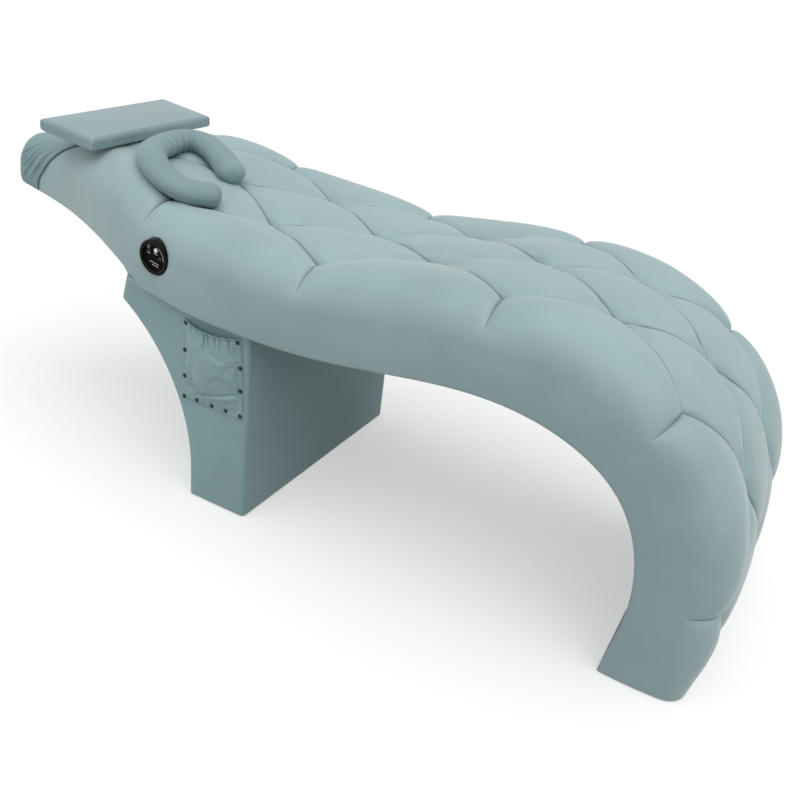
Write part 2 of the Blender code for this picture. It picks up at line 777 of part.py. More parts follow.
# Bolts through the pedestal top board into the two rails above it
count = 0
for u, beam in zip(BOLT_RUNS, (head_rail, foot_rail)):
    for sign in (-1, 1):
        count += 1
        base = spot(u, BOLT_Y * sign, 0)
        axis = (spot(u, 0, 0.05) - spot(u, 0, 0)).normalized()
        low = -BOARD - 2 * GAP
        bottom = low - BOLT_HEAD_TALL
        head = [(0, bottom), (BOLT_HEAD_RADIUS, bottom), (BOLT_HEAD_RADIUS, low), (BOLT_RADIUS, low)]
        stem = [(BOLT_RADIUS, BOLT_REACH), (0, BOLT_REACH)]
        add(f"pedestal_bolt_{count}", turned(head + stem, base, axis, 12, (1, 0, 0)), STEEL, 40)
        hole = (BOLT_RADIUS + GAP, -2 * BOARD, BOLT_REACH + GAP)
        tool = cutter(f"bolt_hole_{count}", *hole, base, axis, 12)
        for target in (ped_top, under_panel, beam):
            cut(target, tool)

# Glides under the pedestal and the foot
glide_y = INSIDE - GLIDE_SET_IN
glide_xs = (BASE_TAIL + GLIDE_SET_IN, FOOT_PANEL_X - BOARD - GLIDE_SET_IN)
PED_GLIDES = [(x, y) for x in glide_xs for y in (-glide_y, glide_y)]
foot_x = float(UNDER[-1, 0]) + FOOT_GLIDE_BACK
foot_glide_y = wide(FOOT_END) - FOOT_GLIDE_SET_IN
glide_profile = [(0, 0), (GLIDE_RADIUS - GLIDE_EDGE, 0), (GLIDE_RADIUS, GLIDE_EDGE)]
glide_profile += [(GLIDE_RADIUS, GLIDE_TALL), (0, GLIDE_TALL)]
for k, (x, y) in enumerate(PED_GLIDES):
    add(f"pedestal_glide_{k + 1}", turned(glide_profile, (x, y, 0), (0, 0, 1), 20, (1, 0, 0)), FELT)
for k, y in enumerate((-foot_glide_y, foot_glide_y)):
    add(f"foot_glide_{k + 1}", turned(glide_profile, (foot_x, y, 0), (0, 0, 1), 20, (1, 0, 0)), FELT)

# Storage pocket on the near face of the pedestal
POCKET_X1 = PEDESTAL_FOOT_X - POCKET_INSET
POCKET_X0 = POCKET_X1 - POCKET_WIDE
POCKET_Z1 = under_z((POCKET_X0 + POCKET_X1) / 2) - POCKET_DROP
POCKET_Z0 = POCKET_Z1 - POCKET_TALL
POCKET_Y = -(PEDESTAL_HALF + GAP)


def mouth_z(x):
    q = (x - POCKET_X0) / POCKET_WIDE
    return POCKET_Z1 - MOUTH_SAG * math.sin(math.pi * q) ** 0.8


def bulge(x, v):
    """How far the pouch stands off the face, flat on the studded flange."""
    a = min(x - POCKET_X0, POCKET_X1 - x) - POCKET_FLANGE
    up = v * POCKET_TALL - POCKET_FLANGE
    if a <= 0 or up <= 0:
        return 0.0
    across = math.sin(math.pi / 2 * min(a / (POCKET_WIDE / 2 - POCKET_FLANGE), 1)) ** 0.7
    rise = math.sin(math.pi / 2 * min(up / (POCKET_TALL * 0.45), 1))
    return POCKET_BULGE * across * rise * (1 - 0.35 * v)


def gather(x, v):
    """Small upright folds below the elastic mouth."""
    a = min(x - POCKET_X0, POCKET_X1 - x) - POCKET_FLANGE
    if a <= 0.004:
        return 0.0
    return 0.0012 * math.sin((x - POCKET_X0) * 2 * math.pi / 0.0233) * max(0, v - 0.55) / 0.45


def pouch_point(x, v, out):
    z = POCKET_Z0 + (mouth_z(x) - POCKET_Z0) * v
    return Vector((x, POCKET_Y - bulge(x, v) - abs(gather(x, v)) - out, z))


def build_pouch():
    inner = POCKET_WIDE - 2 * POCKET_FLANGE
    xs = [POCKET_X0, POCKET_X0 + POCKET_FLANGE]
    xs += [POCKET_X0 + POCKET_FLANGE + inner * k / 12 for k in range(1, 12)]
    xs += [POCKET_X1 - POCKET_FLANGE, POCKET_X1]
    vs = [0, POCKET_FLANGE / POCKET_TALL, 0.16, 0.26, 0.38, 0.52, 0.7, 0.86, 1]
    bm = bmesh.new()
    front = [[bm.verts.new(pouch_point(x, v, POCKET_CLOTH)) for x in xs] for v in vs]
    back = [[bm.verts.new(pouch_point(x, v, 0)) for x in xs] for v in vs]
    for g in (front, back):
        for a, b in zip(g, g[1:]):
            for j in range(len(a) - 1):
                bm.faces.new((a[j], a[j + 1], b[j + 1], b[j]))
    for k in (0, -1):
        for j in range(len(xs) - 1):
            bm.faces.new((front[k][j], front[k][j + 1], back[k][j + 1], back[k][j]))
        for i in range(len(vs) - 1):
            bm.faces.new((front[i][k], front[i + 1][k], back[i + 1][k], back[i][k]))
    return add("storage_pocket", bm, POCKET_MAT, 50)


build_pouch()
lift = ELASTIC_RADIUS + GAP
band = []
for k in range(19):
    x = POCKET_X0 + 0.004 + (POCKET_WIDE - 0.008) * k / 18
    c = pouch_point(x, 1, ELASTIC_RADIUS) + Vector((0, 0, lift))
    ring = []
    for j in range(8):
        a = 2 * math.pi * j / 8
        ring.append(c + Vector((0, math.cos(a), math.sin(a))) * ELASTIC_RADIUS)
    band.append(ring)
add("pocket_elastic", loft(band), ELASTIC_MAT, 60)

# Studs: two sides and the bottom edge of the pocket
left = POCKET_X0 + STUD_INSET
right = POCKET_X1 - STUD_INSET
low = POCKET_Z0 + STUD_INSET
high = POCKET_Z1 - STUD_INSET - 0.004
studs = []
for x in (left, right):
    studs += [(x, low + (high - low) * k / (STUDS_SIDE - 1)) for k in range(STUDS_SIDE)]
for k in range(1, STUDS_BELOW + 1):
    studs.append((left + (right - left) * k / (STUDS_BELOW + 1), low))
dome = [(0, 0), (STUD_RADIUS, 0), (STUD_RADIUS, STUD_TALL / 3)]
dome += [(STUD_RADIUS * 0.75, STUD_TALL * 0.75), (0, STUD_TALL)]
for k, (x, z) in enumerate(studs):
    seat = (x, POCKET_Y - POCKET_CLOTH - GAP, z)
    add(f"pocket_stud_{k + 1:02d}", turned(dome, seat, (0, -1, 0), 12), STUD_MAT, 60)

# Control disc let into the near side of the cover
control_u = run_at(CONTROL_X)
turn_in = CONTROL_TURN * (wide(control_u + 0.03) - wide(control_u - 0.03)) / 0.06
along = (spot(control_u + 0.03, 0, 0) - spot(control_u - 0.03, 0, 0)).normalized()
upward = (spot(control_u, 0, 0.1) - spot(control_u, 0, 0)).normalized()
aim = Vector((0, -1, 0)) - along * turn_in
aim = aim.normalized() * math.cos(CONTROL_TILT) + upward * math.sin(CONTROL_TILT)
aim = aim.normalized()
centre = spot(control_u, -wide(control_u), CONTROL_UP) - aim * CONTROL_SINK
AXIS, RIGHT, UP = frame_of(aim, upward)
BASE = -HOUSING_DEEP - PANEL_THICK
recess_r = CONTROL_RADIUS + RECESS_CLEAR
recess = cutter("control_recess", recess_r, BASE - GAP, CONTROL_RADIUS, centre, AXIS, 40)
cut(cover, recess)
rim_low = -PANEL_THICK
hw = HOUSING_WALL
cup = [(0, BASE), (CONTROL_RADIUS, BASE), (CONTROL_RADIUS, rim_low), (CONTROL_RADIUS - hw, rim_low)]
cup += [(CONTROL_RADIUS - hw, BASE + hw), (0, BASE + hw)]
add("control_housing", turned(cup, centre, AXIS, 40), HOUSE_MAT, 40)
pcb_low = BASE + hw + GAP
pcb_r = CONTROL_RADIUS - BOARD_SET_IN
pcb = [(0, pcb_low), (pcb_r, pcb_low), (pcb_r, pcb_low + BOARD_THICK), (0, pcb_low + BOARD_THICK)]
add("control_board", turned(pcb, centre, AXIS, 32), BOARD_MAT, 40)
plate_low = rim_low + GAP
plate_high = plate_low + PANEL_THICK
plate_r = CONTROL_RADIUS - GAP
plate = [(0, plate_low), (plate_r, plate_low), (plate_r, plate_high), (0, plate_high)]
face = add("control_face", turned(plate, centre, AXIS, 40), FACE_MAT, 40)
ring_low = plate_high + GAP
ring = [(CONTROL_RADIUS - CONTROL_RIM, ring_low), (CONTROL_RADIUS, ring_low)]
for k in range(0, 5):
    a = math.pi * k / 4
    ring.append((
        CONTROL_RADIUS - CONTROL_RIM / 2 + CONTROL_RIM / 2 * math.cos(a),
        ring_low + BEZEL_TALL * (0.15 + 0.85 * math.sin(a)),
    ))
add("control_bezel", turned(ring, centre, AXIS, 40), GLOSS, 50)
KEYS = [
    ("power_button", 0.08, 0.46, POWER_RADIUS, WHITE_KEY),
    ("heat_button", -0.38, 0.27, SMALL_RADIUS, BLACK_KEY),
    ("mode_button", 0.43, 0.11, SMALL_RADIUS, BLACK_KEY),
]
for name, side, rise, radius, mat in KEYS:
    seat = centre + RIGHT * side * CONTROL_RADIUS + UP * rise * CONTROL_RADIUS
    low = pcb_low + BOARD_THICK + BUTTON_TRAVEL + GAP
    stop = plate_low - GAP
    key_top = plate_high + BUTTON_PROUD
    lip = radius + BUTTON_LIP
    key = [(0, low), (lip, low), (lip, stop), (radius, stop), (radius, key_top - BUTTON_EDGE)]
    key += [(radius - BUTTON_EDGE, key_top), (0, key_top)]
    add(name, turned(key, seat, AXIS, 20), mat, 40, seat)
    cut(face, cutter(name + "_hole", radius + BUTTON_CLEAR, -HOUSING_DEEP, BEZEL_TALL, seat, AXIS, 20))

# Vibration motors, each on one flat stretch of the deck's underside
for name, x in (("motor_back", -0.235), ("motor_hip", 0.20), ("motor_leg", 0.56)):
    k = int(np.argmin(np.abs(np.array(STATIONS) - run_at(x))))
    u = (STATIONS[k] + STATIONS[k + 1]) / 2
    seat = spot(u, 0, deck_low(u))
    ahead = spot(STATIONS[k + 1], 0, deck_low(STATIONS[k + 1]))
    behind = spot(STATIONS[k], 0, deck_low(STATIONS[k]))
    flat = (ahead - behind).normalized()
    axis = Vector((flat.z, 0, -flat.x))
    body = [(0, GAP), (MOTOR_RADIUS, GAP), (MOTOR_RADIUS, MOTOR_TALL - MOTOR_EDGE)]
    body += [(MOTOR_RADIUS - MOTOR_EDGE, MOTOR_TALL), (0, MOTOR_TALL)]
    add(name, turned(body, seat, axis, 24, (0, 1, 0)), MOTOR_MAT, 40)

# Power inlet in the far side of the pedestal
seat = (INLET_X, PEDESTAL_HALF, INLET_Z)
r = INLET_RADIUS
f = INLET_FLANGE
inlet = [(0, -INLET_DEEP), (r, -INLET_DEEP), (r, GAP), (r + f, GAP), (r + f, INLET_PROUD * 0.7)]
inlet += [(r + f * 0.7, INLET_PROUD), (r - f * 0.7, INLET_PROUD), (r - f, 2 * GAP), (0, 2 * GAP)]
add("power_inlet", turned(inlet, seat, (0, 1, 0), 24), INLET_MAT, 40)
inlet_hole = cutter("inlet_hole", r + GAP, -2 * INLET_DEEP, INLET_DEEP, seat, (0, 1, 0))
cut(sleeve, inlet_hole)
cut(far_side, inlet_hole)


# Hood over the head end, and the pillow that lies on it
def hood_section(u, grow):
    near = side_points(u, grow)
    flat, r = edge_y(u)
    e = end_inset(u)
    top = deep_at(u) - e + grow
    across = [(flat * k / 4, top - CROWN * (k / 4) ** 2) for k in range(-4, 5)]
    return near + across + [(-y, h) for y, h in near[::-1]]


def hood_reach(j, n):
    """How far back the hood's front edge lies, short at the bottom edge and long on top."""
    k = min(j, n - 1 - j)
    q = min(k / 4, 1)
    return HOOD_SIDE + (HOOD_TOP - HOOD_SIDE) * q ** HOOD_SWEEP


def build_hood():
    n = len(hood_section(0.1, 0))
    bm = bmesh.new()
    shells = []
    for grow in (HOOD_LOOSE, HOOD_LOOSE + HOOD_CLOTH):
        rows = []
        for k in range(9):
            row = []
            for j in range(n):
                reach = hood_reach(j, n)
                u = STATIONS[k] if k < 4 else END_ROUND + (reach - END_ROUND) * (k - 3) / 5
                y, h = hood_section(u, grow)[j]
                p = spot(u, y, h)
                p.x -= grow * max(0, 1 - u / END_ROUND)
                row.append(bm.verts.new(p))
            rows.append(row)
        shells.append(rows)
    a, b = shells
    for rows in shells:
        for p, q in zip(rows, rows[1:]):
            for j in range(n - 1):
                bm.faces.new((p[j], p[j + 1], q[j + 1], q[j]))
        bm.faces.new(rows[0])
    for k in range(len(a) - 1):
        for s in (0, -1):
            bm.faces.new((a[k][s], a[k + 1][s], b[k + 1][s], b[k][s]))
    for j in range(n - 1):
        bm.faces.new((a[-1][j], a[-1][j + 1], b[-1][j + 1], b[-1][j]))
    bm.faces.new((a[0][0], a[0][-1], b[0][-1], b[0][0]))
    head = spot(0, 0, deep_at(0) / 2)
    ground = (tree_of(bm), [v.co.copy() for v in bm.verts])
    return add("head_hood", bm, HOOD_MAT, 50, head), ground


HOOD, HOOD_FACE = build_hood()
HOOD_OVER = HOOD_LOOSE + HOOD_CLOTH + GAP


def pillow_ring(q, squeeze, puff):
    """Pillow section: a tilted slab with soft sides, its belly reaching down to the hood."""
    a = PILLOW_LONG * (q - 0.5)
    w = PILLOW_HALF - PILLOW_EDGE * squeeze
    low = PILLOW_TALL * (1 - puff) / 2
    high = PILLOW_TALL * (1 + puff) / 2
    soft = PILLOW_EDGE * min(puff, 1)
    belly = w * PILLOW_BELLY
    side = [(belly, None), (w - soft, low), (w, low + soft), (w, high - soft), (w - soft, high)]
    side += [(w * 0.5, high + PILLOW_TALL * 0.08 * puff)]
    foot = top_z(PILLOW_X + PILLOW_LONG / 2, PILLOW_Y) + HOOD_OVER
    c, s = math.cos(PILLOW_TURN), math.sin(PILLOW_TURN)
    ring = []
    for y, h in side + [(-y, h) for y, h in side[::-1]]:
        p = Vector((PILLOW_X + a * c - y * s, PILLOW_Y + a * s + y * c, 0))
        bottom = foot + (PILLOW_LONG / 2 - a) * math.tan(PILLOW_PITCH) + y * PILLOW_LEAN
        if h is None:
            rest = min(top_z(p.x, 0) + HOOD_OVER, bottom)
            p.z = rest + (bottom + PILLOW_TALL / 2 - rest) * (1 - min(puff, 1))
        else:
            p.z = bottom + h
        ring.append(p)
    return ring


ends = [(0, 1.0, 0.55), (0.02, 0.3, 0.88), (0.06, 0, 1.0), (0.35, 0, 1.02), (0.65, 0, 1.02), (0.94, 0, 1.0)]
ends += [(0.98, 0.3, 0.88), (1, 1.0, 0.55)]
pillow = loft([pillow_ring(*e) for e in ends])
seat_on(pillow, HOOD_FACE)
add("head_pillow", pillow, PILLOW_CLOTH, 60, (PILLOW_X, PILLOW_Y, top_z(PILLOW_X, 0) + PILLOW_TALL / 2))


def neck_line(q):
    """Centre line of the horseshoe from one arm's tip round the closed end to the other."""
    reach = np.concatenate([[0], np.cumsum(np.hypot(*np.diff(np.array(NECK_LINE), axis=0).T))])
    bent = [(r, *p) for r, p in zip(reach, NECK_LINE)]
    x, y = smooth_line(bent, [q * reach[-1]])[0]
    return Vector((x, y, 0))


def rolled(p):
    """Centre height of a flattened ball of the neck pillow's size resting on the lying face."""
    best = -1.0
    for k in range(-3, 4):
        for j in range(-3, 4):
            rest = 1 - (k * k + j * j) / 16
            if rest > 0:
                ground = drop(LYING_FACE[0], p.x + NECK_WIDE * k / 4, p.y + NECK_WIDE * j / 4, 0.0)
                best = max(best, ground + NECK_TALL * math.sqrt(rest))
    return best


COUNT = 26
path = [neck_line(k / COUNT) for k in range(COUNT + 1)]
heights = [rolled(p) for p in path]
for k, p in enumerate(path):
    near = heights[max(k - 2, 0):k + 3]
    p.z = sum(near) / len(near)
rings = []
for k, c in enumerate(path):
    d = (path[min(k + 1, COUNT)] - path[max(k - 1, 0)]).normalized()
    side = d.cross(Vector((0, 0, 1))).normalized()
    top = side.cross(d)
    sizes = [(1.0, 0.0)]
    if k in (0, COUNT):
        sign = -1 if k == 0 else 1
        sizes = [(1.0, 0.0), (0.82, sign * 0.55), (0.4, sign * 0.9)][::sign]
    for size, push in sizes:
        across = side * NECK_WIDE * size
        rise = top * NECK_TALL * size
        base = c + d * NECK_TALL * push
        angles = [2 * math.pi * j / 12 for j in range(12)]
        rings.append([base + across * math.cos(a) + rise * math.sin(a) for a in angles])
neck = loft(rings)
seat_on(neck, LYING_FACE)
add("neck_pillow", neck, NECK_MAT, 60, path[COUNT // 2])
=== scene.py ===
"""Eyelash extension bed: upholstery, pedestal cover, pillows, hood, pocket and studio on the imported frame."""

import math

import bmesh
import bpy
import numpy as np
from mathutils import Matrix, Vector
from mathutils.bvhtree import BVHTree


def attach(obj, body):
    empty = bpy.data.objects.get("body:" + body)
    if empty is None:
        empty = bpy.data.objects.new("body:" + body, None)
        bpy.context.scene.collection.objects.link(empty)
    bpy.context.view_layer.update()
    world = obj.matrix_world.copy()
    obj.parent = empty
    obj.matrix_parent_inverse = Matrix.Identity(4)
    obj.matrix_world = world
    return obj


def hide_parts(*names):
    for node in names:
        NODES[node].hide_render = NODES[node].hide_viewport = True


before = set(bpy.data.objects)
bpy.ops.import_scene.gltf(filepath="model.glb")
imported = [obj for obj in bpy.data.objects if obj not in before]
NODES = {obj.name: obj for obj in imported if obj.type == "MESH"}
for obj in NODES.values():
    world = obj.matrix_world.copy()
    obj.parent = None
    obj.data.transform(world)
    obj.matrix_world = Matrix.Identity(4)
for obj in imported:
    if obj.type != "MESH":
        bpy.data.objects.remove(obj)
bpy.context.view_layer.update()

bl_info = {
    "name": "Eyelash Extension Bed",
    "version": (1, 0, 0),
    "blender": (4, 5, 0),
    "location": "View3D > Sidebar > Bed",
    "description": "Dresses the packed frame of a tufted salon bed",
    "category": "Object",
}

QUARTER = math.pi / 2
ROUND = 2 * math.pi
DOWN = Vector((0, 0, -1))
ABOVE = 1.2

# Body lines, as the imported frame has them
HALF_LENGTH = 0.9465
UNDER_HEIGHT = 0.541
FLOOR_GAP = 0.003
UNDER_LINE = [
    (-0.99, 1.012), (-0.74, 0.9925), (-0.528, 0.953), (-0.349, 0.872), (-0.169, 0.840), (0.063, 0.827),
    (0.254, 0.864), (0.444, 0.898), (0.602, 0.861), (0.740, 0.716), (0.807, 0.452), (0.791, 0.0),
]
LINE_STEPS = 800
LEVEL_FROM, LEVEL_OVER = 0.88, 0.1
HALF_WIDTH = 0.333
WIDTH_LINE = [(0, 0.41), (0.1, 0.56), (0.25, 0.9), (0.36, 1.0), (0.5, 0.94), (0.7, 0.913), (1, 0.865)]
BODY_DEPTH = 0.184
DEPTH_LINE = [(0, 0.64), (0.1, 0.815), (0.2, 0.97), (0.3, 1.0), (0.65, 1.0), (0.85, 0.955), (1, 0.92)]
CORNER_LINE = [(0, 0.49), (0.4, 0.49), (0.75, 0.49), (0.9, 0.41), (1, 0.26)]
END_ROUND = 0.04
END_LIFT = 0.5
CROWN = 0.006
SIDE_BELLY = 0.002
HEM_ROUND = 0.006
SAG_X, SAG_DEEP = -0.395, 0.017
SAG_HEAD, SAG_FOOT, SAG_RIM = 0.024, 0.05, 0.15
COVER_SIDE = 0.022
COVER_TOP = 0.042
COVER_BEVEL = 0.085

# Tufting: lattice, shape of its seams and pleats, and where it shows
TUFT_PITCH = 0.385
TUFT_FIRST = 0.1925
TUFT_ROWS = 5
FOOT_STRETCH = 0.030
CELL = 18
SIDE_ROWS = 24
SEAM_POWER = 7
GROOVE_SHARE, GROOVE_WIDE = 0.42, 0.0065
PANEL_WIDE = 0.090
PLEAT_GROOVE, PLEAT_WIDE = 0.6, 0.032
QUILT_FROM, QUILT_EASE, QUILT_FOOT = 0.32, 0.11, 0.07
# Seam distance given to the hollow's points, far from any sewn line, so no painted shade or crease reaches them
CLEAR_OF_SEAMS = 50.0

# Pedestal sleeve
PEDESTAL_FOOT = -0.078
PEDESTAL_TAIL = -0.235
PEDESTAL_HALF = 0.312
FLARE_RADIUS = 0.456
FLARE_SKIN = 0.4406
FLARE_START = 0.07
FLARE_TOP = 0.433
LIP_BACK = 0.0135
LIP_STEPS = 5
SLEEVE_WALL = 0.004
SLEEVE_CORNER = 0.010
SLEEVE_DROP = 0.0025
SLEEVE_TOP = FLARE_TOP + 0.005
SLEEVE_FOOT_DROP = 0.012

# Hood: reach of its hem on the sides and the top, slack and cloth
HOOD_SIDE = 0.095
HOOD_TOP = 0.27
HOOD_MARK = 0.12
HOOD_END = 0.007
HOOD_LOOSE = 0.0009
HOOD_CLOTH = 0.0025
HOOD_GROW = HOOD_LOOSE + HOOD_CLOTH
HOOD_COLUMNS = 141
HOOD_ENDS = (0, 0.03, 0.1, 0.22, 0.4, 0.65, 1.0)
HOOD_ROWS = 41

# Head pillow
PILLOW_X, PILLOW_Y = -0.674, -0.016
PILLOW_TURN = math.radians(3.4)
PILLOW_PITCH = math.radians(7.2)
PILLOW_LEAN = 0.009
PILLOW_LONG = 0.150
PILLOW_HALF = 0.211
PILLOW_TALL = 0.026
PILLOW_REACH = np.array([PILLOW_LONG, 2 * PILLOW_HALF, PILLOW_TALL]) / 2
PILLOW_CELLS = (52, 120, 8)
PILLOW_CROWN = 0.0030
PILLOW_WAIST = 0.0022
PUCKER_HIGH, PUCKER_REACH, PUCKER_PITCH = 0.0011, 0.022, 0.0125
PILLOW_SEAM = 0.0065

# Neck roll: middle line in plan and its tube
NECK_LINE = [
    (-0.292, -0.184), (-0.342, -0.211), (-0.400, -0.211), (-0.448, -0.186), (-0.487, -0.140),
    (-0.508, -0.082), (-0.508, -0.028), (-0.486, 0.0), (-0.447, 0.0), (-0.405, -0.012),
    (-0.367, -0.032), (-0.345, -0.047),
]
NECK_FLAT = 0.785
NECK_RINGS, NECK_COLUMNS = 145, 40
NECK_FOLDS, NECK_FOLD_DEEP = 17, 0.24

# Pocket: corners on the pedestal's near face, gathers as place, length and depth, and studs
POCKET_X0, POCKET_X1 = -0.253, -0.087
POCKET_Z0, POCKET_Z1 = 0.2495, 0.4355
POCKET_FACE = -0.3123
POCKET_CLOTH = 0.0025
POCKET_FLANGE = 0.013
MOUTH_SAG = 0.010
POUCH_COLUMNS, POUCH_ROWS = 97, 91
BAND_RINGS, BAND_COLUMNS = 181, 14
BAND_RADIUS, BAND_PITCH = 0.0024, 0.0052
GATHERS = [
    (0.085, 0.13, 0.0026), (0.21, 0.15, 0.0030), (0.30, 0.13, 0.0024),
    (0.436, 0.30, 0.0040), (0.52, 0.24, 0.0036), (0.61, 0.20, 0.0034),
    (0.715, 0.26, 0.0030), (0.845, 0.25, 0.0038), (0.94, 0.22, 0.0030),
]
STUDS = [
    (-0.242, 0.4315), (-0.2443, 0.3678), (-0.2452, 0.3059), (-0.2461, 0.2554),
    (-0.211, 0.2575), (-0.170, 0.258), (-0.132, 0.2600), (-0.0937, 0.2600),
    (-0.0944, 0.3198), (-0.0966, 0.3729), (-0.106, 0.4287),
]
STITCH_INSET = 0.0028
STITCH_RADIUS = 0.00042

# Control disc: middle, outward axis and its right and up on the bed's side
CONTROL = Vector((-0.316039, -0.326004, 0.557386))
CONTROL_OUT = Vector((-0.010371, -0.99863, -0.051298)).normalized()
CONTROL_UP = Vector((0.1979, -0.05234, 0.97882)).normalized()
CONTROL_RIGHT = CONTROL_UP.cross(CONTROL_OUT).normalized()
CONTROL_RADIUS = 0.038
CONTROL_DEEP = 0.0166
CONTROL_SEAT = CONTROL_RADIUS + 0.0004
SEAT_TALL = 0.05
RING_LOW, RING_TALL, RING_RIM, RING_SEGMENTS = 0.0006, 0.0042, 0.0095, 96
MARK_LOW, MARK_THICK, MARK_WIDE = 0.00035, 0.00018, 0.0007
DASH_PITCH, DASH_LONG, DASH_WIDE = 0.0042, 0.0030, 0.0013

# Camera: heading, height angle and roll in radians, place, and focal length in pixels of the 800 pixel frame
CAMERA_AZIMUTH, CAMERA_ELEVATION, CAMERA_ROLL = 0.4466, 0.4863, 0.1301
CAMERA_PLACE = (0.8957, -1.6116, 1.1933)
CAMERA_FOCAL, FRAME_PIXELS, SENSOR = 870.83, 800, 36

# Cloth of every blown-up piece
CLOTH_FRAMES = 20
CLOTH = {
    "quality": 5, "mass": 0.3, "tension_stiffness": 15, "compression_stiffness": 15, "shear_stiffness": 5,
    "bending_stiffness": 0.5, "use_pressure": True, "vertex_group_mass": "held",
}

# Finishes of plain fittings: colour, speckle scale, roughness and what else differs
FITTINGS = {
    # Hardboard: the underside panel's dark teal is painted shade, matched to the shadow it lies in under the
    # body
    "hardboard": ((0.115, 0.185, 0.20), 260.0, 0.62, {"depth": 0.0004, "contrast": 0.18}),
    "zinc_steel": ((0.55, 0.56, 0.58), 160.0, 0.33, {"depth": 0.0001, "metal": 1.0}),
    "glide_nylon": ((0.045, 0.045, 0.048), 700.0, 0.5, {}),
    "control_face": (
        (0.003, 0.003, 0.0033), 90.0, 0.25, {"depth": 0.00002, "contrast": 0.06, "Specular_IOR_Level": 0.03},
    ),
    "control_housing": ((0.008, 0.008, 0.009), 600.0, 0.32, {"Specular_IOR_Level": 0.12}),
    "circuit_board": ((0.02, 0.15, 0.07), 350.0, 0.45, {"contrast": 0.3}),
    "black_key": ((0.012, 0.012, 0.013), 800.0, 0.3, {"Specular_IOR_Level": 0.3}),
    "motor_case": ((0.10, 0.10, 0.11), 500.0, 0.45, {}),
    "inlet_plastic": ((0.022, 0.022, 0.023), 700.0, 0.42, {}),
}


def length(name, description, default):
    """A size property."""
    return bpy.props.FloatProperty(name=name, description=description, default=default, unit="LENGTH")


def colour(name, description, default):
    """A colour property."""
    return bpy.props.FloatVectorProperty(
        name=name, description=description, default=default, size=3, min=0, max=1, subtype="COLOR",
    )


class BedSizes(bpy.types.PropertyGroup):
    """Sizes of the soft pieces that a user would change."""

    tuft_depth: length("Tuft depth", "How far a junction of the lattice is drawn in", 0.030)
    seam_depth: length("Seam depth", "How far the middle of a lattice seam is drawn in", 0.0075)
    pleat_depth: length("Pleat depth", "Depth of the pleats over the long edges", 0.020)
    pleat_long: length("Pleat length", "Length of the pleats over the long edges", 0.11)
    edge_puff: length(
        "Edge puff", "How far the panels along the long edges stand up between the pleats", 0.0065,
    )
    pillow_edge: length("Pillow edge", "Edge radius of the head pillow", 0.006)
    neck_radius: length("Neck roll radius", "Half width of the neck roll's tube", 0.0325)
    hood_fold: length("Hood folds", "Height of the folds on the hood's sides", 0.0065)
    pocket_bulge: length("Pocket bulge", "How far the pouch stands off the pedestal", 0.020)
    stud_radius: length("Stud radius", "Radius of the pocket's studs", 0.0042)
    stitch_pitch: length("Stitch pitch", "Distance from stitch to stitch", 0.0042)


class BedColours(bpy.types.PropertyGroup):
    """Colours that a user would change."""

    body: colour("Body", "Leatherette of the lying face and sides", (0.286, 0.400, 0.414))
    pedestal: colour("Pedestal", "Leatherette of the pedestal", (0.225, 0.352, 0.372))
    pillow: colour("Pillow", "Leatherette of the head pillow", (0.222, 0.325, 0.340))
    hood: colour("Hood", "Cloth of the hood", (0.205, 0.312, 0.330))
    neck: colour("Neck roll", "Cloth of the neck roll", (0.215, 0.314, 0.330))
    pocket: colour("Pocket", "Cloth of the pocket", (0.228, 0.355, 0.374))
    thread: colour("Thread", "Sewing thread", (0.185, 0.290, 0.305))
    floor: colour("Floor", "Studio floor", (0.35, 0.35, 0.35))


def sizes():
    return bpy.context.scene.bed_sizes


def colours():
    return bpy.context.scene.bed_colours


# Lines of the body
def smooth_line(knots, at):
    """Natural cubic curve through the knots, read at the given places."""
    t = np.array([k[0] for k in knots], float)
    v = np.array([k[1:] for k in knots], float)
    n = len(t)
    h = np.diff(t)
    a = np.eye(n)
    b = np.zeros_like(v)
    for i in range(1, n - 1):
        a[i, i - 1:i + 2] = h[i - 1], 2 * (h[i - 1] + h[i]), h[i]
        b[i] = 6 * ((v[i + 1] - v[i]) / h[i] - (v[i] - v[i - 1]) / h[i - 1])
    m = np.linalg.solve(a, b)
    at = np.asarray(at, float)
    i = np.clip(np.searchsorted(t, at) - 1, 0, n - 2)
    p = ((at - t[i]) / h[i])[:, None]
    q = 1 - p
    hh = (h[i] ** 2 / 6)[:, None]
    return q * v[i] + p * v[i + 1] + hh * ((q ** 3 - q) * m[i] + (p ** 3 - p) * m[i + 1])


def smooth_path(knots, steps):
    """Points along a natural cubic curve through knots in a plane."""
    run = lengths(np.array(knots))
    return smooth_line([(r, *k) for r, k in zip(run, knots)], np.linspace(0, run[-1], steps))


def lengths(points):
    """Running length along a line of points in a plane."""
    return np.concatenate([[0], np.cumsum(np.hypot(*np.diff(points, axis=0).T))])


def ease(x):
    """Smooth step from 0 to 1."""
    x = np.clip(x, 0, 1)
    return x * x * (3 - 2 * x)


def averaged(values, reach):
    """Each value averaged with so many neighbours on both sides."""
    wide = 2 * reach + 1
    return np.convolve(np.pad(values, reach, mode="edge"), np.ones(wide) / wide, "valid")


def unit(rows):
    """Rows of vectors at length 1."""
    return rows / np.linalg.norm(rows, axis=1)[:, None]


def body_line():
    """Underside line of the body, its share of the way, and its normal, which turns level at the foot."""
    line = smooth_path([(HALF_LENGTH * x, FLOOR_GAP + (UNDER_HEIGHT - FLOOR_GAP) * z) for x, z in UNDER_LINE],
                       LINE_STEPS)
    share = lengths(line) / lengths(line)[-1]
    slope = unit(np.gradient(line, axis=0))
    level = ease((share - LEVEL_FROM) / LEVEL_OVER)[:, None]
    normal = np.stack([-slope[:, 1], slope[:, 0]], 1) * (1 - level) + np.array([1.0, 0.0]) * level
    return line, share, unit(normal)


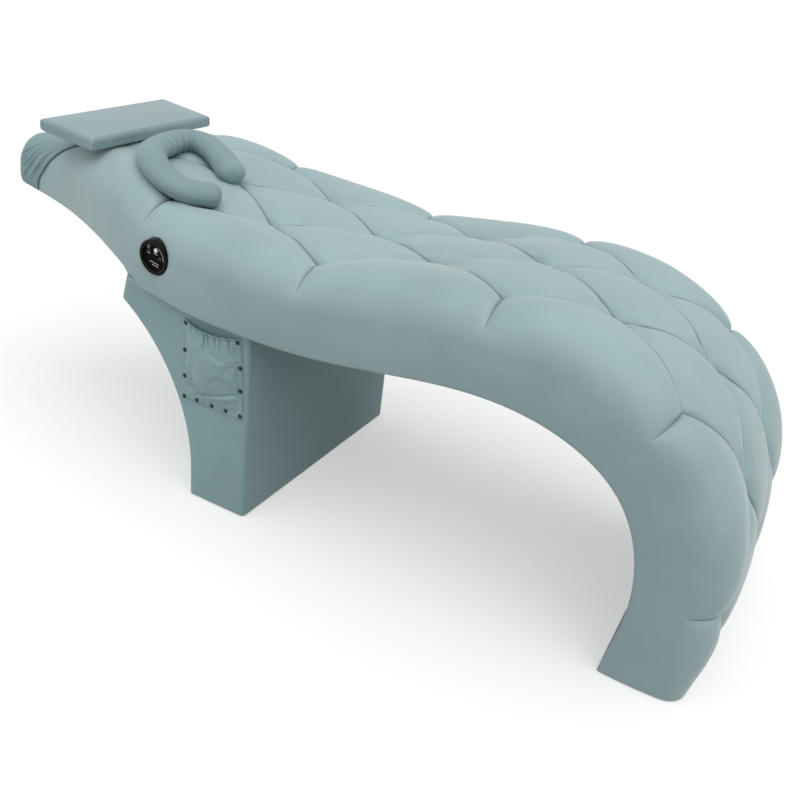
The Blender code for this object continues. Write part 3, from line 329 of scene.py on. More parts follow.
LINE, SHARE, NORMAL = body_line()
HALF = smooth_line(WIDTH_LINE, SHARE)[:, 0] * HALF_WIDTH
DEEP = smooth_line(DEPTH_LINE, SHARE)[:, 0] * BODY_DEPTH
CORNER = smooth_line(CORNER_LINE, SHARE)[:, 0] * DEEP
CREST = LINE + NORMAL * DEEP[:, None]
RUN = lengths(CREST)
RUN_END = float(RUN[-1])


def along(u, values):
    """A fine line's values at runs along the lying face."""
    return np.interp(u, RUN, values)


def end_inset(u):
    """How far the rounded head end has drawn in."""
    return END_ROUND - np.sqrt(np.clip(END_ROUND ** 2 - np.clip(END_ROUND - u, 0, None) ** 2, 0, None))


def edge(u):
    """Half width of the flat top and the corner radius."""
    r = along(u, CORNER)
    return along(u, HALF) - end_inset(u) - r, r


def place(u, y, h):
    """Points at runs along the body, across it and up from its underside."""
    x = along(u, LINE[:, 0]) + along(u, NORMAL[:, 0]) * h
    z = along(u, LINE[:, 1]) + along(u, NORMAL[:, 1]) * h
    return np.stack([x, y + 0 * x, z], -1)


def sag(u):
    """How far the cover's sides hang lower over the head end of the pedestal."""
    x = along(u, LINE[:, 0]) - SAG_X
    return SAG_DEEP * np.exp(-(x / np.where(x < 0, SAG_HEAD, SAG_FOOT)) ** 2)


def section_marks(u):
    """Girth from the middle line to the corner, side, hem round, hem and inner rim."""
    flat, r = edge(u)
    e = end_inset(u)
    side = flat + r * QUARTER
    hem = side + along(u, DEEP) - e - CROWN - r - e * END_LIFT - HEM_ROUND + sag(u)
    under = hem + HEM_ROUND * QUARTER
    return flat, side, hem, under, under + COVER_SIDE - HEM_ROUND - SAG_RIM * sag(u)


def skin(u, c):
    """Point and outward direction on the smooth body at a run and a girth from the middle line."""
    flat, r = edge(u)
    e = end_inset(u)
    _, side, hem, under, _ = section_marks(u)
    a = np.abs(c)
    top = along(u, DEEP) - e
    low = e * END_LIFT - sag(u)
    wall = flat + r
    shoulder = top - CROWN - r
    over = np.clip((a - flat) / r, 0, QUARTER)
    tuck = np.clip((a - hem) / HEM_ROUND, 0, QUARTER)
    belly = SIDE_BELLY * np.sin(math.pi * np.clip((a - side) / (hem - side), 0, 1))
    zones = [a > under, a > hem, a > side, a > flat]
    y = np.select(zones, [
        wall - HEM_ROUND - (a - under), wall - HEM_ROUND + HEM_ROUND * np.cos(tuck), wall + belly,
        flat + r * np.sin(over),
    ], a)
    h = np.select(zones, [
        low, low + HEM_ROUND - HEM_ROUND * np.sin(tuck), shoulder - (a - side), shoulder + r * np.cos(over),
    ], top - CROWN * ease(a / flat))
    ny = np.where(a > hem, np.cos(tuck), np.sin(over))
    nh = np.where(a > hem, -np.sin(tuck), np.cos(over))
    sign = np.where(c < 0, -1.0, 1.0)
    out = np.stack([along(u, NORMAL[:, 0]) * nh, sign * ny, along(u, NORMAL[:, 1]) * nh], -1)
    return place(u, sign * y, h), out


# Meshes
def linked(name, data):
    """An object at the origin that holds the data."""
    obj = bpy.data.objects.new(name, data)
    bpy.context.scene.collection.objects.link(obj)
    return obj


def piece(name, points, faces, material):
    """A smooth mesh object at the origin."""
    mesh = bpy.data.meshes.new(name)
    mesh.from_pydata([tuple(map(float, p)) for p in points], [], [tuple(map(int, f)) for f in faces])
    mesh.materials.append(material)
    mesh.shade_smooth()
    mesh.update()
    return linked(name, mesh)


def from_bmesh(name, bm, material):
    """A smooth mesh object from a bmesh, its faces turned outwards."""
    bmesh.ops.recalc_face_normals(bm, faces=bm.faces[:])
    mesh = bpy.data.meshes.new(name)
    bm.to_mesh(mesh)
    bm.free()
    mesh.materials.append(material)
    mesh.shade_smooth()
    return linked(name, mesh)


def grid_faces(rows, columns, wrap=False):
    """Quads of a grid of points, row by row."""
    return [
        (i * columns + j, i * columns + (j + 1) % columns,
         (i + 1) * columns + (j + 1) % columns, (i + 1) * columns + j)
        for i in range(rows - 1) for j in range(columns if wrap else columns - 1)
    ]


def tube(name, rings, material):
    """Closed tube through rings of points, with a face over each end."""
    n = len(rings[0])
    last = (len(rings) - 1) * n
    faces = grid_faces(len(rings), n, True) + [tuple(range(n)), tuple(range(last, last + n))]
    obj = piece(name, np.concatenate(rings), faces, material)
    outward(obj)
    return obj


def outward(obj):
    """Merge doubles and turn all faces outwards."""
    bm = bmesh.new()
    bm.from_mesh(obj.data)
    bmesh.ops.remove_doubles(bm, verts=bm.verts[:], dist=1e-6)
    bmesh.ops.recalc_face_normals(bm, faces=bm.faces[:])
    bm.to_mesh(obj.data)
    bm.free()
    obj.data.shade_smooth()


def bake(obj):
    """Keep what the modifiers made as the piece's own plain mesh."""
    bpy.context.view_layer.update()
    old = obj.data
    seen = obj.evaluated_get(bpy.context.evaluated_depsgraph_get())
    mesh = bpy.data.meshes.new_from_object(seen)
    mesh.name = obj.name
    obj.modifiers.clear()
    obj.data = mesh
    bpy.data.meshes.remove(old)
    mesh.shade_smooth()


def modify(obj, name, kind, **settings):
    """Run one modifier on a piece and keep its result in the mesh."""
    mod = obj.modifiers.new(name, kind)
    for key, value in settings.items():
        setattr(mod, key, value)
    bake(obj)


def divide(obj):
    """One round of subdivision."""
    modify(obj, "Subdivision", "SUBSURF", levels=1, render_levels=1)


def thicken(obj, thick):
    """Give a cloth its thickness, inwards."""
    modify(obj, "Cloth thickness", "SOLIDIFY", thickness=thick, offset=-1, use_even_offset=True)


def soften(obj, width, degrees):
    """Round the edges that are sharper than an angle."""
    modify(obj, "Soft edges", "BEVEL", width=width, segments=2, limit_method="ANGLE",
           angle_limit=math.radians(degrees))


def vectors(layer, field):
    """All vectors of a mesh's layer as rows."""
    flat = np.empty(len(layer) * 3, np.float32)
    layer.foreach_get(field, flat)
    return flat.reshape(-1, 3).astype(float)


def coords(mesh):
    return vectors(mesh.vertices, "co")


def normals(mesh):
    return vectors(mesh.vertex_normals, "vector")


def set_coords(mesh, points):
    mesh.vertices.foreach_set("co", np.asarray(points, np.float32).ravel())
    mesh.update()


def attribute(mesh, name, values, domain="POINT"):
    layer = mesh.attributes.new(name, "FLOAT", domain)
    layer.data.foreach_set("value", np.asarray(values, np.float32))


def swell(obj, held, pressure, cap, shrink=0.0, sink=None, share=None):
    """Blow a padded piece up as cloth with its held points fixed, no point moving past the cap.

    None goes further in than sink, and each point keeps its share of the way.
    """
    scene = bpy.context.scene
    start = coords(obj.data)
    away = normals(obj.data)
    group = obj.vertex_groups.new(name="held")
    group.add([int(i) for i in held], 1.0, "REPLACE")
    cloth = obj.modifiers.new("Cloth", "CLOTH")
    for key, value in {**CLOTH, "uniform_pressure_force": pressure, "shrink_min": shrink}.items():
        setattr(cloth.settings, key, value)
    cloth.settings.effector_weights.gravity = 0
    cloth.collision_settings.use_collision = False
    cloth.point_cache.frame_start = 1
    cloth.point_cache.frame_end = CLOTH_FRAMES
    for f in range(1, CLOTH_FRAMES + 1):
        scene.frame_set(f)
    seen = obj.evaluated_get(bpy.context.evaluated_depsgraph_get())
    move = coords(seen.data) - start
    obj.modifiers.remove(cloth)
    obj.vertex_groups.remove(group)
    scene.frame_set(1)
    if not np.isfinite(move).all():
        raise RuntimeError(f"cloth of {obj.name} did not settle")
    far = np.linalg.norm(move, axis=1, keepdims=True)
    move *= np.tanh(far / cap) * cap / np.maximum(far, 1e-9)
    if sink is not None:
        move -= away * np.minimum((move * away).sum(1, keepdims=True) + sink, 0)
    if share is not None:
        move *= share[:, None]
    set_coords(obj.data, start + move)


def tree_of(obj):
    """Search tree over a piece's faces."""
    return BVHTree.FromPolygons([v.co.copy() for v in obj.data.vertices],
                                [tuple(p.vertices) for p in obj.data.polygons])


def ground(x, y, *below):
    """Height of the highest of the pieces below at places in plan, or -1 beside them."""
    high = np.full(len(x), -1.0)
    for tree in [tree_of(bpy.data.objects[name]) for name in below]:
        for i in range(len(x)):
            hit = tree.ray_cast(Vector((x[i], y[i], ABOVE)), DOWN, ABOVE)[0]
            if hit is not None:
                high[i] = max(high[i], hit.z)
    return high


def seat(obj, below, gap):
    """Lift the underside of a soft piece wherever it would sink into what it lies on, as foam gives."""
    tree = tree_of(bpy.data.objects[below])
    points = coords(obj.data)
    for i in np.nonzero(normals(obj.data)[:, 2] < 0.2)[0]:
        hit = tree.ray_cast(Vector(points[i]) - DOWN * 0.2, DOWN, 0.4)[0]
        if hit is not None:
            points[i, 2] = max(points[i, 2], hit.z + gap)
    set_coords(obj.data, points)


def dress(obj, body, slot, *nodes):
    """Let a finished piece ride on its body and stand for its nodes, which are hidden; the slot is not used."""
    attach(obj, body)
    if nodes:
        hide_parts(*nodes)


def wobble(*parts, seed):
    """Smooth fixed waves from -1 to 1 over one or more coordinates given in turns."""
    rng = np.random.default_rng(seed)
    total = 0
    for _ in range(5):
        turn = sum(p * rng.uniform(0.6, 1.5) * rng.choice([-1, 1]) for p in parts)
        total = total + np.sin(ROUND * (turn + rng.uniform())) * rng.uniform(0.5, 1)
    return total / 3.6


# Materials
def empty_tree(owner):
    """Node tree of a material or world, with nothing in it."""
    owner.use_nodes = True
    owner.node_tree.nodes.clear()
    return owner.node_tree


def look(name, **fixed):
    """A new material with one shader, its constant sockets set directly."""
    material = bpy.data.materials.new(name)
    tree = empty_tree(material)
    shader = tree.nodes.new("ShaderNodeBsdfPrincipled")
    node(tree, "ShaderNodeOutputMaterial", {"Surface": shader.outputs[0]})
    for socket, value in fixed.items():
        shader.inputs[socket.replace("_", " ")].default_value = value
    return material, tree, shader


def node(tree, kind, inputs=None, **settings):
    """A node with its settings, and its inputs set or linked by name or number."""
    made = tree.nodes.new(kind)
    for key, value in settings.items():
        setattr(made, key, value)
    for key, value in (inputs or {}).items():
        if isinstance(value, bpy.types.NodeSocket):
            tree.links.new(value, made.inputs[key])
        else:
            made.inputs[key].default_value = value
    return made


def spread(tree, value, low, high, out_low=0.0, out_high=1.0):
    """A value mapped from one range to another, smoothly and clamped."""
    return node(
        tree, "ShaderNodeMapRange",
        {"Value": value, "From Min": low, "From Max": high, "To Min": out_low, "To Max": out_high},
        interpolation_type="SMOOTHSTEP",
    ).outputs[0]


def math_of(tree, operation, a, b):
    """Two values joined by an operation."""
    return node(tree, "ShaderNodeMath", {0: a, 1: b}, operation=operation).outputs[0]


def tint(tree, share, a, b):
    """Two colours mixed by a share; either colour may be a socket."""
    def four(c):
        return c if isinstance(c, bpy.types.NodeSocket) else (*c[:3], 1.0)
    return node(tree, "ShaderNodeMix", {0: share, 6: four(a), 7: four(b)}, data_type="RGBA").outputs[2]


def scaled(rgb, by):
    return tuple(min(1.0, c * by) for c in rgb)


def object_place(tree):
    return node(tree, "ShaderNodeTexCoord").outputs["Object"]


def noise(tree, at, scale, detail=3.0, **more):
    """A noise texture's value."""
    inputs = {"Vector": at, "Scale": scale, "Detail": detail, **more}
    return node(tree, "ShaderNodeTexNoise", inputs).outputs[0]


def wave(tree, at, axis, scale, **more):
    """A band texture's value."""
    made = node(tree, "ShaderNodeTexWave", {"Vector": at, "Scale": scale, **more}, bands_direction=axis)
    return made.outputs["Fac"]


def midway(tree, value, low, high):
    """A noise value's middle stretch mapped to a range."""
    return spread(tree, value, 0.3, 0.7, low, high)


def mottled(tree, value, rgb, low, high):
    """A colour made darker and lighter by a noise value."""
    return tint(tree, midway(tree, value, 0.0, 1.0), scaled(rgb, low), scaled(rgb, high))


def bump(tree, height, strength, distance, invert=False, **below):
    """Relief from a height value, over the normal below where one is given."""
    inputs = {"Strength": strength, "Distance": distance, "Height": height, **below}
    return node(tree, "ShaderNodeBump", inputs, invert=invert).outputs[0]


def surface(tree, shader, base, rough, relief):
    """Link colour, roughness and relief to the shader."""
    for socket, value in (("Base Color", base), ("Roughness", rough), ("Normal", relief)):
        tree.links.new(value, shader.inputs[socket])


def leatherette(name, rgb, grain=640.0, seams=False, rough=(0.46, 0.60)):
    """Embossed leatherette: pebble grain, slow shade changes, and sewn lines darkened as painted shade in their
    creases.
    """
    material, tree, shader = look(name, Specular_IOR_Level=0.42, Sheen_Weight=0.4, Sheen_Roughness=0.4)
    at = object_place(tree)
    slow = noise(tree, at, 5.5, Roughness=0.55)
    crease = noise(tree, at, 85.0, 4.0, Roughness=0.6)
    cells = node(tree, "ShaderNodeTexVoronoi", {"Vector": at, "Scale": grain, "Randomness": 0.9})
    pebble = cells.outputs["Distance"]
    pit = spread(tree, pebble, 0.25, 0.75)
    base = mottled(tree, slow, rgb, 0.93, 1.06)
    base = tint(tree, spread(tree, pit, 0.0, 1.0, 0.0, 0.22), base, scaled(rgb, 0.72))
    if seams:
        # Painted shade: within a few millimetres of a sewn line, read from the seam attribute, the colour
        # darkens to a deeper teal, standing in for the shade in the line's crease
        sewn = node(tree, "ShaderNodeAttribute", attribute_name="seam").outputs["Fac"]
        shade = tuple(np.array(rgb) * (0.30, 0.36, 0.38))
        base = tint(tree, spread(tree, sewn, 0.3, 4.2, 0.78, 0.0), base, shade)
    grained = bump(tree, pebble, 0.22, 0.0004, invert=True)
    surface(tree, shader, base, midway(tree, slow, *rough), bump(tree, crease, 0.16, 0.0016, Normal=grained))
    return material


def woven(name, rgb, pitch=0.0011):
    """Plain stretch weave: crossing threads with a soft sheen."""
    material, tree, shader = look(name, Specular_IOR_Level=0.25, Sheen_Weight=0.18, Sheen_Roughness=0.45)
    at = object_place(tree)
    slow = noise(tree, at, 9.0)
    turned = node(tree, "ShaderNodeMapping", {"Vector": at, "Rotation": (0.6, 0.35, 0.5)}).outputs[0]
    weft, warp = (wave(tree, turned, axis, 1 / pitch / 2 / 3.14, Distortion=0.6, Detail=1.0) for axis in "XZ")
    cross = math_of(tree, "MULTIPLY", weft, warp)
    base = mottled(tree, slow, rgb, 0.94, 1.05)
    base = tint(tree, spread(tree, cross, 0.0, 0.6, 0.22, 0.0), base, scaled(rgb, 0.7))
    surface(tree, shader, base, midway(tree, slow, 0.72, 0.86), bump(tree, cross, 0.2, 0.0002))
    return material


def wood(name, light, dark, stretch):
    """Sawn timber or ply: long rings with fine pores."""
    material, tree, shader = look(name, Specular_IOR_Level=0.3)
    at = node(tree, "ShaderNodeMapping", {"Vector": object_place(tree), "Scale": stretch}).outputs[0]
    rings = wave(tree, at, "Z", 9.0, **{"Distortion": 5.0, "Detail": 3.0, "Detail Scale": 1.4})
    pores = noise(tree, at, 234.0)
    base = tint(tree, rings, light, dark)
    base = tint(tree, spread(tree, pores, 0.5, 0.75, 0.0, 0.35), base, scaled(dark, 0.6))
    surface(tree, shader, base, midway(tree, pores, 0.52, 0.7), bump(tree, pores, 0.25, 0.0005))
    return material


def speckled(name, rgb, scale, rough, depth=0.0002, metal=0.0, contrast=0.12, **fixed):
    """Moulded plastic, foam, board or plated metal: fine speckle in shade, gloss and relief."""
    material, tree, shader = look(name, Metallic=metal, **fixed)
    at = object_place(tree)
    fine = noise(tree, at, scale)
    wear = noise(tree, at, 28.0, 4.0, Roughness=0.65)
    base = mottled(tree, fine, rgb, 1 - contrast, 1 + contrast)
    gloss = midway(tree, wear, rough * 0.85, min(1, rough * 1.2))
    surface(tree, shader, base, gloss, bump(tree, fine, 0.25, depth))
    return material


# Upholstery
def run_of(k):
    """Run along the lying face of a lattice count: close at the rounded head end, wider at the foot."""
    k = np.asarray(k, float)
    last = TUFT_FIRST + TUFT_PITCH * TUFT_ROWS + FOOT_STRETCH
    counts = [0, TUFT_ROWS - 1, TUFT_ROWS, TUFT_ROWS + 0.5]
    rest = np.interp(k, counts, [TUFT_FIRST, TUFT_FIRST + TUFT_PITCH * (TUFT_ROWS - 1), last, RUN_END])
    return np.where(k < 0, TUFT_FIRST * np.clip(2 * k + 1, 0, 1) ** 1.6, rest)


def sewn_line(q, d):
    """Depth at a share of the way from junction to junction and at a distance from the seam."""
    s = sizes()
    deepest = s.seam_depth + (s.tuft_depth - s.seam_depth) * np.abs(2 * q - 1) ** 1.8
    panel = np.clip(1 - d / PANEL_WIDE, 0, 1) ** 2.4
    return deepest * (GROOVE_SHARE * np.exp(-d / GROOVE_WIDE) + (1 - GROOVE_SHARE) * panel)


def lattice_lines(k, c, flat):
    """Depth and distance of the four seams round each point of the lattice."""
    a, b = (n - np.floor(n + 1e-6) for n in (k + c / flat, k - c / flat))
    wide = flat * TUFT_PITCH / np.sqrt(TUFT_PITCH ** 2 + flat ** 2)
    for d, q in ((a * wide, b), ((1 - a) * wide, b), (b * wide, a), ((1 - b) * wide, a)):
        yield sewn_line(q, np.abs(d)), np.abs(d)


def edge_lines(x, y, flat):
    """Depth and distance of the seams and pleats next to each point of the long edges."""
    for e, m in ((0, -0.5), (0, 0.5), (1, 0.5), (1, 1.5)):
        dx = (m - e) * TUFT_PITCH
        dy = -flat / 2
        q = np.clip(((x - e * TUFT_PITCH) * dx + (y - flat) * dy) / (dx * dx + dy * dy), 0, 1)
        d = np.hypot(x - e * TUFT_PITCH - q * dx, y - flat - q * dy)
        yield sewn_line(q, d), d
    s = sizes()
    q = np.clip((y - flat) / s.pleat_long, 0, 1)
    for e in (0, 1):
        d = np.hypot(x - e * TUFT_PITCH, y - flat - q * s.pleat_long)
        fall = PLEAT_GROOVE * np.exp(-d / GROOVE_WIDE) + (1 - PLEAT_GROOVE) * np.exp(-(d / PLEAT_WIDE) ** 1.5)
        yield s.pleat_depth * (1 - q ** 1.6) * fall, d / np.clip(1 - q ** 3, 0.05, 1)


def deepest_of(lines):
    """Several sewn lines blended into one depth, and the distance to the nearest."""
    depths, distances = zip(*lines)
    return sum(d ** SEAM_POWER for d in depths) ** (1 / SEAM_POWER), np.min(distances, axis=0)


def tufting(k, c, on_edge):
    """Depth and distance to the nearest sewn line, for points of the lattice and of the long edges."""
    u = run_of(k)
    flat, r = edge(u)
    x = (k - np.floor(k + 1e-6)) * TUFT_PITCH
    y = np.abs(c)
    depth, near = np.where(on_edge, deepest_of(edge_lines(x, y, flat)), deepest_of(lattice_lines(k, c, flat)))
    shown = ease((u - QUILT_FROM) / QUILT_EASE) * ease((RUN_END - u) / QUILT_FOOT)
    puff = sizes().edge_puff * np.clip(np.sin(math.pi * x / TUFT_PITCH), 0, 1) ** 0.8
    puff = puff * ease((y - flat) / PANEL_WIDE + 1) * (1 - ease((y - flat) / (r * QUARTER) * 2 - 0.9))
    return (depth - puff * (k < TUFT_ROWS)) * shown, near + (1 - shown) * 0.05


class CoverNet:
    """Lattice counts, girths and faces of the cover's outside while it is laid out."""

    def __init__(self):
        x = np.linspace(0, 1, CELL + 1)
        self.share = x - 0.105 * np.sin(ROUND * x)
        self.keys = {}
        self.counts, self.girths, self.on_edge, self.faces = [], [], [], []

    def add(self, count, girth, on_edge):
        self.counts.append(count)
        self.girths.append(girth)
        self.on_edge.append(on_edge)
        return len(self.counts) - 1

    def knot(self, p, q):
        """Lattice point at fine counts along both seam directions, made when first asked for."""
        if (p, q) not in self.keys:
            a = p // CELL + self.share[p % CELL]
            b = q // CELL + self.share[q % CELL]
            k = (a + b) / 2
            self.keys[p, q] = self.add(k, (a - b) / 2 * edge(run_of(k))[0], False)
        return self.keys[p, q]

    def lay_panels(self):
        """Panels of the lattice, cut straight at the head and at the foot."""
        cells = [(a, a) for a in range(-1, TUFT_ROWS + 1)]
        cells += [(a, a - 1) for a in range(TUFT_ROWS + 1)] + [(a - 1, a) for a in range(TUFT_ROWS + 1)]
        for a, b in cells:
            for i in range(CELL):
                for j in range(CELL):
                    ring = [(i, j), (i, j + 1), (i + 1, j + 1), (i + 1, j)]
                    if a == b == -1:
                        ring = [r for r in ring if sum(r) >= CELL]
                    if a == b == TUFT_ROWS:
                        ring = [r for r in ring if sum(r) <= CELL]
                    if len(ring) > 2:
                        self.faces.append([self.knot(a * CELL + p, b * CELL + q) for p, q in ring])

    def lay_side(self, sign):
        """Columns from the lattice's border over a long edge, down the side and round the hem."""
        border = []
        for k in range(-1, TUFT_ROWS + 1):
            border += [((k + 1) * CELL, (k - 1) * CELL + i) for i in range(CELL)]
            border += [((k + 1) * CELL + i, k * CELL) for i in range(CELL)]
        border = border[CELL:-CELL] + [((TUFT_ROWS + 1) * CELL, TUFT_ROWS * CELL)]
        columns = []
        for p, q in border:
            first = self.keys[(p, q) if sign > 0 else (q, p)]
            k = self.counts[first]
            hem, under, rim = (float(x) for x in section_marks(run_of(k))[2:])
            start = abs(self.girths[first])
            reach = [start + (hem - start) * f for f in np.linspace(0, 1, SIDE_ROWS + 1)[1:]]
            reach += [hem + (under - hem) * f for f in (1 / 3, 2 / 3, 1)] + [rim]
            columns.append([first] + [self.add(k, sign * c, True) for c in reach])
        for p, q in zip(columns, columns[1:]):
            self.faces += [[p[r], p[r + 1], q[r + 1], q[r]] for r in range(len(p) - 1)]
        return columns

    def head_line(self):
        return [self.keys[i - CELL, -i] for i in range(1, CELL)]

    def foot_line(self):
        return [self.keys[TUFT_ROWS * CELL + i, (TUFT_ROWS + 1) * CELL - i] for i in range(1, CELL)]


def line_edges(line):
    """Edges between the neighbours on a line of points."""
    return {frozenset(pair) for pair in zip(line, line[1:])}


def lay_hollow(columns, runs, points, faces):
    """Hollow for the frame from the head rail to the floor: its last ring, and its sharp edges."""
    start = next(i for i, (near, far) in enumerate(columns) if runs[near[0]] >= END_ROUND)
    rings = []
    for near, far in columns[start:]:
        u = float(runs[near[0]])
        w = float(along(u, HALF))
        d = float(along(u, DEEP))
        inner = [(w - COVER_SIDE, d - COVER_BEVEL), (w - COVER_BEVEL, d - COVER_TOP)]
        first = len(points)
        points += [place(u, -y, h) for y, h in inner] + [place(u, y, h) for y, h in inner[::-1]]
        rings.append([near[-1], *range(first, len(points)), far[-1]])
    sharp = line_edges(rings[0]) | line_edges(rings[-1])
    for a, b in zip(rings, rings[1:]):
        faces += [[a[j], b[j], b[j + 1], a[j + 1]] for j in range(len(a) - 1)]
        sharp |= {frozenset(pair) for pair in zip(a, b)}
    faces.append(rings[0])
    for a, b in zip(columns[:start], columns[1:]):
        faces.append([a[0][-1], b[0][-1], b[1][-1], a[1][-1]])
    return rings[-1], sharp


def hem_to_hem(column, line, points):
    """Points over the cover at one run, with a line of the lattice between both sides."""
    near, far = column
    return near[::-1] + sorted(line, key=lambda i: points[i][1]) + far


def bridge(outer, inner, points):
    """Triangles between two open lines of points, each over the shorter diagonal."""
    faces = []
    i = j = 0
    while i < len(outer) - 1 or j < len(inner) - 1:
        ahead = beside = math.inf
        if i < len(outer) - 1:
            ahead = np.linalg.norm(points[outer[i + 1]] - points[inner[j]])
        if j < len(inner) - 1:
            beside = np.linalg.norm(points[outer[i]] - points[inner[j + 1]])
        if ahead <= beside:
            face = [outer[i], outer[i + 1], inner[j]]
            i += 1
        else:
            face = [outer[i], inner[j + 1], inner[j]]
            j += 1
        if len(set(face)) == 3:
            faces.append(face)
    return faces


def crease_edges(mesh, near, sharp):
    """Keep sewn lines and the hollow's edges crisp when the mesh is divided."""
    ends = np.empty(len(mesh.edges) * 2, np.int32)
    mesh.edges.foreach_get("vertices", ends)
    ends = ends.reshape(-1, 2)
    value = np.where((near[ends] < 0.2).all(1), 0.75, 0.0)
    value[[frozenset(pair) in sharp for pair in ends.tolist()]] = 1.0
    attribute(mesh, "crease_edge", value, "EDGE")


def build_upholstery(material):
    """Tufted cover as one closed skin: lattice, long edges, sides, hem and the hollow for the frame."""
    net = CoverNet()
    net.lay_panels()
    sides = [net.lay_side(sign) for sign in (-1, 1)]
    columns = list(zip(*sides))
    girths = np.array(net.girths)
    runs = run_of(net.counts)
    points, out = skin(runs, girths)
    depth, near = tufting(np.array(net.counts), girths, net.on_edge)
    points = list(points - out * depth[:, None])
    faces = net.faces
    last, sharp = lay_hollow(columns, runs, points, faces)
    foot = hem_to_hem(columns[-1], net.foot_line(), points)
    faces.append(hem_to_hem(columns[0], net.head_line(), points))
    faces += bridge(foot, last, points)
    count = len(runs)
    near = np.concatenate([near * 1000, np.full(len(points) - count, CLEAR_OF_SEAMS)])
    obj = piece("upholstery", points, faces, material)
    # Distance to the nearest sewn line in millimetres: the leatherette darkens the cover within a few
    # millimetres of each line as painted shade in its crease
    attribute(obj.data, "seam", near)
    outward(obj)
    crease_edges(obj.data, near, sharp | line_edges(foot))

    # Sewn lines, both ends, the hem and the hollow are held, and the sides and the hood's seat swell less
    fixed = near < 3.0
    fixed[count:] = True
    fixed[:count] |= (runs < 0.12) | (runs > RUN_END - 0.06)
    fixed[[i for side in sides for column in side for i in column[-8:]]] = True
    flat, side = section_marks(runs)[:2]
    share = np.zeros(len(points))
    share[:count] = 1 - 0.88 * ease((np.abs(girths) - flat) / (side - flat))
    share[:count] *= ease((runs - HOOD_TOP) / 0.08)
    swell(obj, np.nonzero(fixed)[0], pressure=2.0, cap=0.004, shrink=-0.012, sink=0.002, share=share)
    return obj


def recess(obj):
    """Round seat for the control in the cover's side."""
    bm = bmesh.new()
    turn = Matrix((CONTROL_RIGHT, CONTROL_UP, CONTROL_OUT)).transposed().to_4x4()
    spot = Matrix.Translation(CONTROL + CONTROL_OUT * (SEAT_TALL / 2 - CONTROL_DEEP)) @ turn
    bmesh.ops.create_cone(
        bm, cap_ends=True, segments=64, radius1=CONTROL_SEAT, radius2=CONTROL_SEAT,
        depth=SEAT_TALL, matrix=spot,
    )
    tool = from_bmesh("control_seat", bm, obj.data.materials[0])
    modify(obj, "Seat", "BOOLEAN", object=tool, operation="DIFFERENCE", solver="EXACT")
    bpy.data.objects.remove(tool, do_unlink=True)


class BED_OT_upholstery(bpy.types.Operator):
    """Tufted leatherette cover with its wadding"""

    bl_idname = "bed.upholstery"
    bl_label = "Upholstery"

    def execute(self, context):
        obj = build_upholstery(leatherette("body_leatherette", colours().body, seams=True))
        divide(obj)
        recess(obj)
        dress(obj, "bed", "body_leatherette", "quilted_cover")
        return {"FINISHED"}


# Foam
class BED_OT_foam(bpy.types.Operator):
    """Foam layer between the deck and the cover"""

    bl_idname = "bed.foam"
    bl_label = "Foam"

    def execute(self, context):
        material = speckled("foam", (0.78, 0.70, 0.50), 420.0, 0.95, 0.0012, contrast=0.2,
                            Specular_IOR_Level=0.1)
        bm = bmesh.new()
        bm.from_mesh(NODES["top_foam"].data)
        bmesh.ops.remove_doubles(bm, verts=bm.verts[:], dist=1e-5)
        obj = from_bmesh("foam_core", bm, material)
        soften(obj, 0.003, 35)
        dress(obj, "bed", "foam", "top_foam")
        return {"FINISHED"}


# Pedestal
def under_z(x):
    """Height of the body's underside in front of the knee."""
    k = int(np.argmax(LINE[:, 0]))
    return np.interp(x, LINE[:k, 0], LINE[:k, 1])


def flare(z, inset):
    """Head side of the pedestal at a height."""
    d = np.clip(z - FLARE_START, 0, FLARE_TOP - FLARE_START)
    radius = FLARE_RADIUS if inset else FLARE_SKIN
    rise = np.sqrt(radius ** 2 - d * d)
    return PEDESTAL_TAIL - (radius - rise) + inset * radius / rise


def sleeve_plan(head, foot, half, r):
    """Outline of the sleeve at one height: foot side, far side, head side and near side."""
    arc = np.linspace(0, QUARTER, 5)
    across = np.linspace(-1, 1, 49)[1:-1]
    lengthwise = np.linspace(0, 1, 25)[1:-1]
    w = half - r
    plan = [(foot - r + r * math.sin(a), -w - r * math.cos(a)) for a in arc]
    plan += [(foot, w * t) for t in across]
    plan += [(foot - r + r * math.cos(a), w + r * math.sin(a)) for a in arc]
    plan += [(foot - r + (head + r - foot + r) * t, half) for t in lengthwise]
    plan += [(head + r - r * math.sin(a), w + r * math.cos(a)) for a in arc]
    plan += [(head, -w * t) for t in across]
    plan += [(head + r - r * math.cos(a), -w - r * math.sin(a)) for a in arc]
    plan += [(head + r + (foot - r - head - r) * t, -half) for t in lengthwise]
    return np.array(plan)


def sleeve_rows(inset):
    """Rings of one skin of the sleeve from the floor to the lip under the body."""
    foot = PEDESTAL_FOOT - inset
    heights = [*np.linspace(FLOOR_GAP, FLARE_TOP, 40), FLARE_TOP + 0.002, SLEEVE_TOP]
    steps = [(z, 0.0) for z in heights] + [(SLEEVE_TOP, k / LIP_STEPS) for k in range(1, LIP_STEPS + 1)]
    rows = []
    for z, lip in steps:
        head = float(flare(z, inset)) + (0 if inset else LIP_BACK * lip)
        plan = sleeve_plan(head, foot, PEDESTAL_HALF - inset, SLEEVE_CORNER - inset * 0.9)
        roof = under_z(plan[:, 0]) - SLEEVE_DROP
        up = (z - FLOOR_GAP) / (SLEEVE_TOP - FLOOR_GAP)
        slant = np.clip((plan[:, 0] - head) / (foot - head), 0, 1)
        at_foot = FLOOR_GAP + (under_z(foot) - SLEEVE_DROP - SLEEVE_FOOT_DROP - FLOOR_GAP) * up
        height = z + (at_foot - z) * slant
        rows.append(np.column_stack([plan, height + (roof - height) * lip]))
    return rows


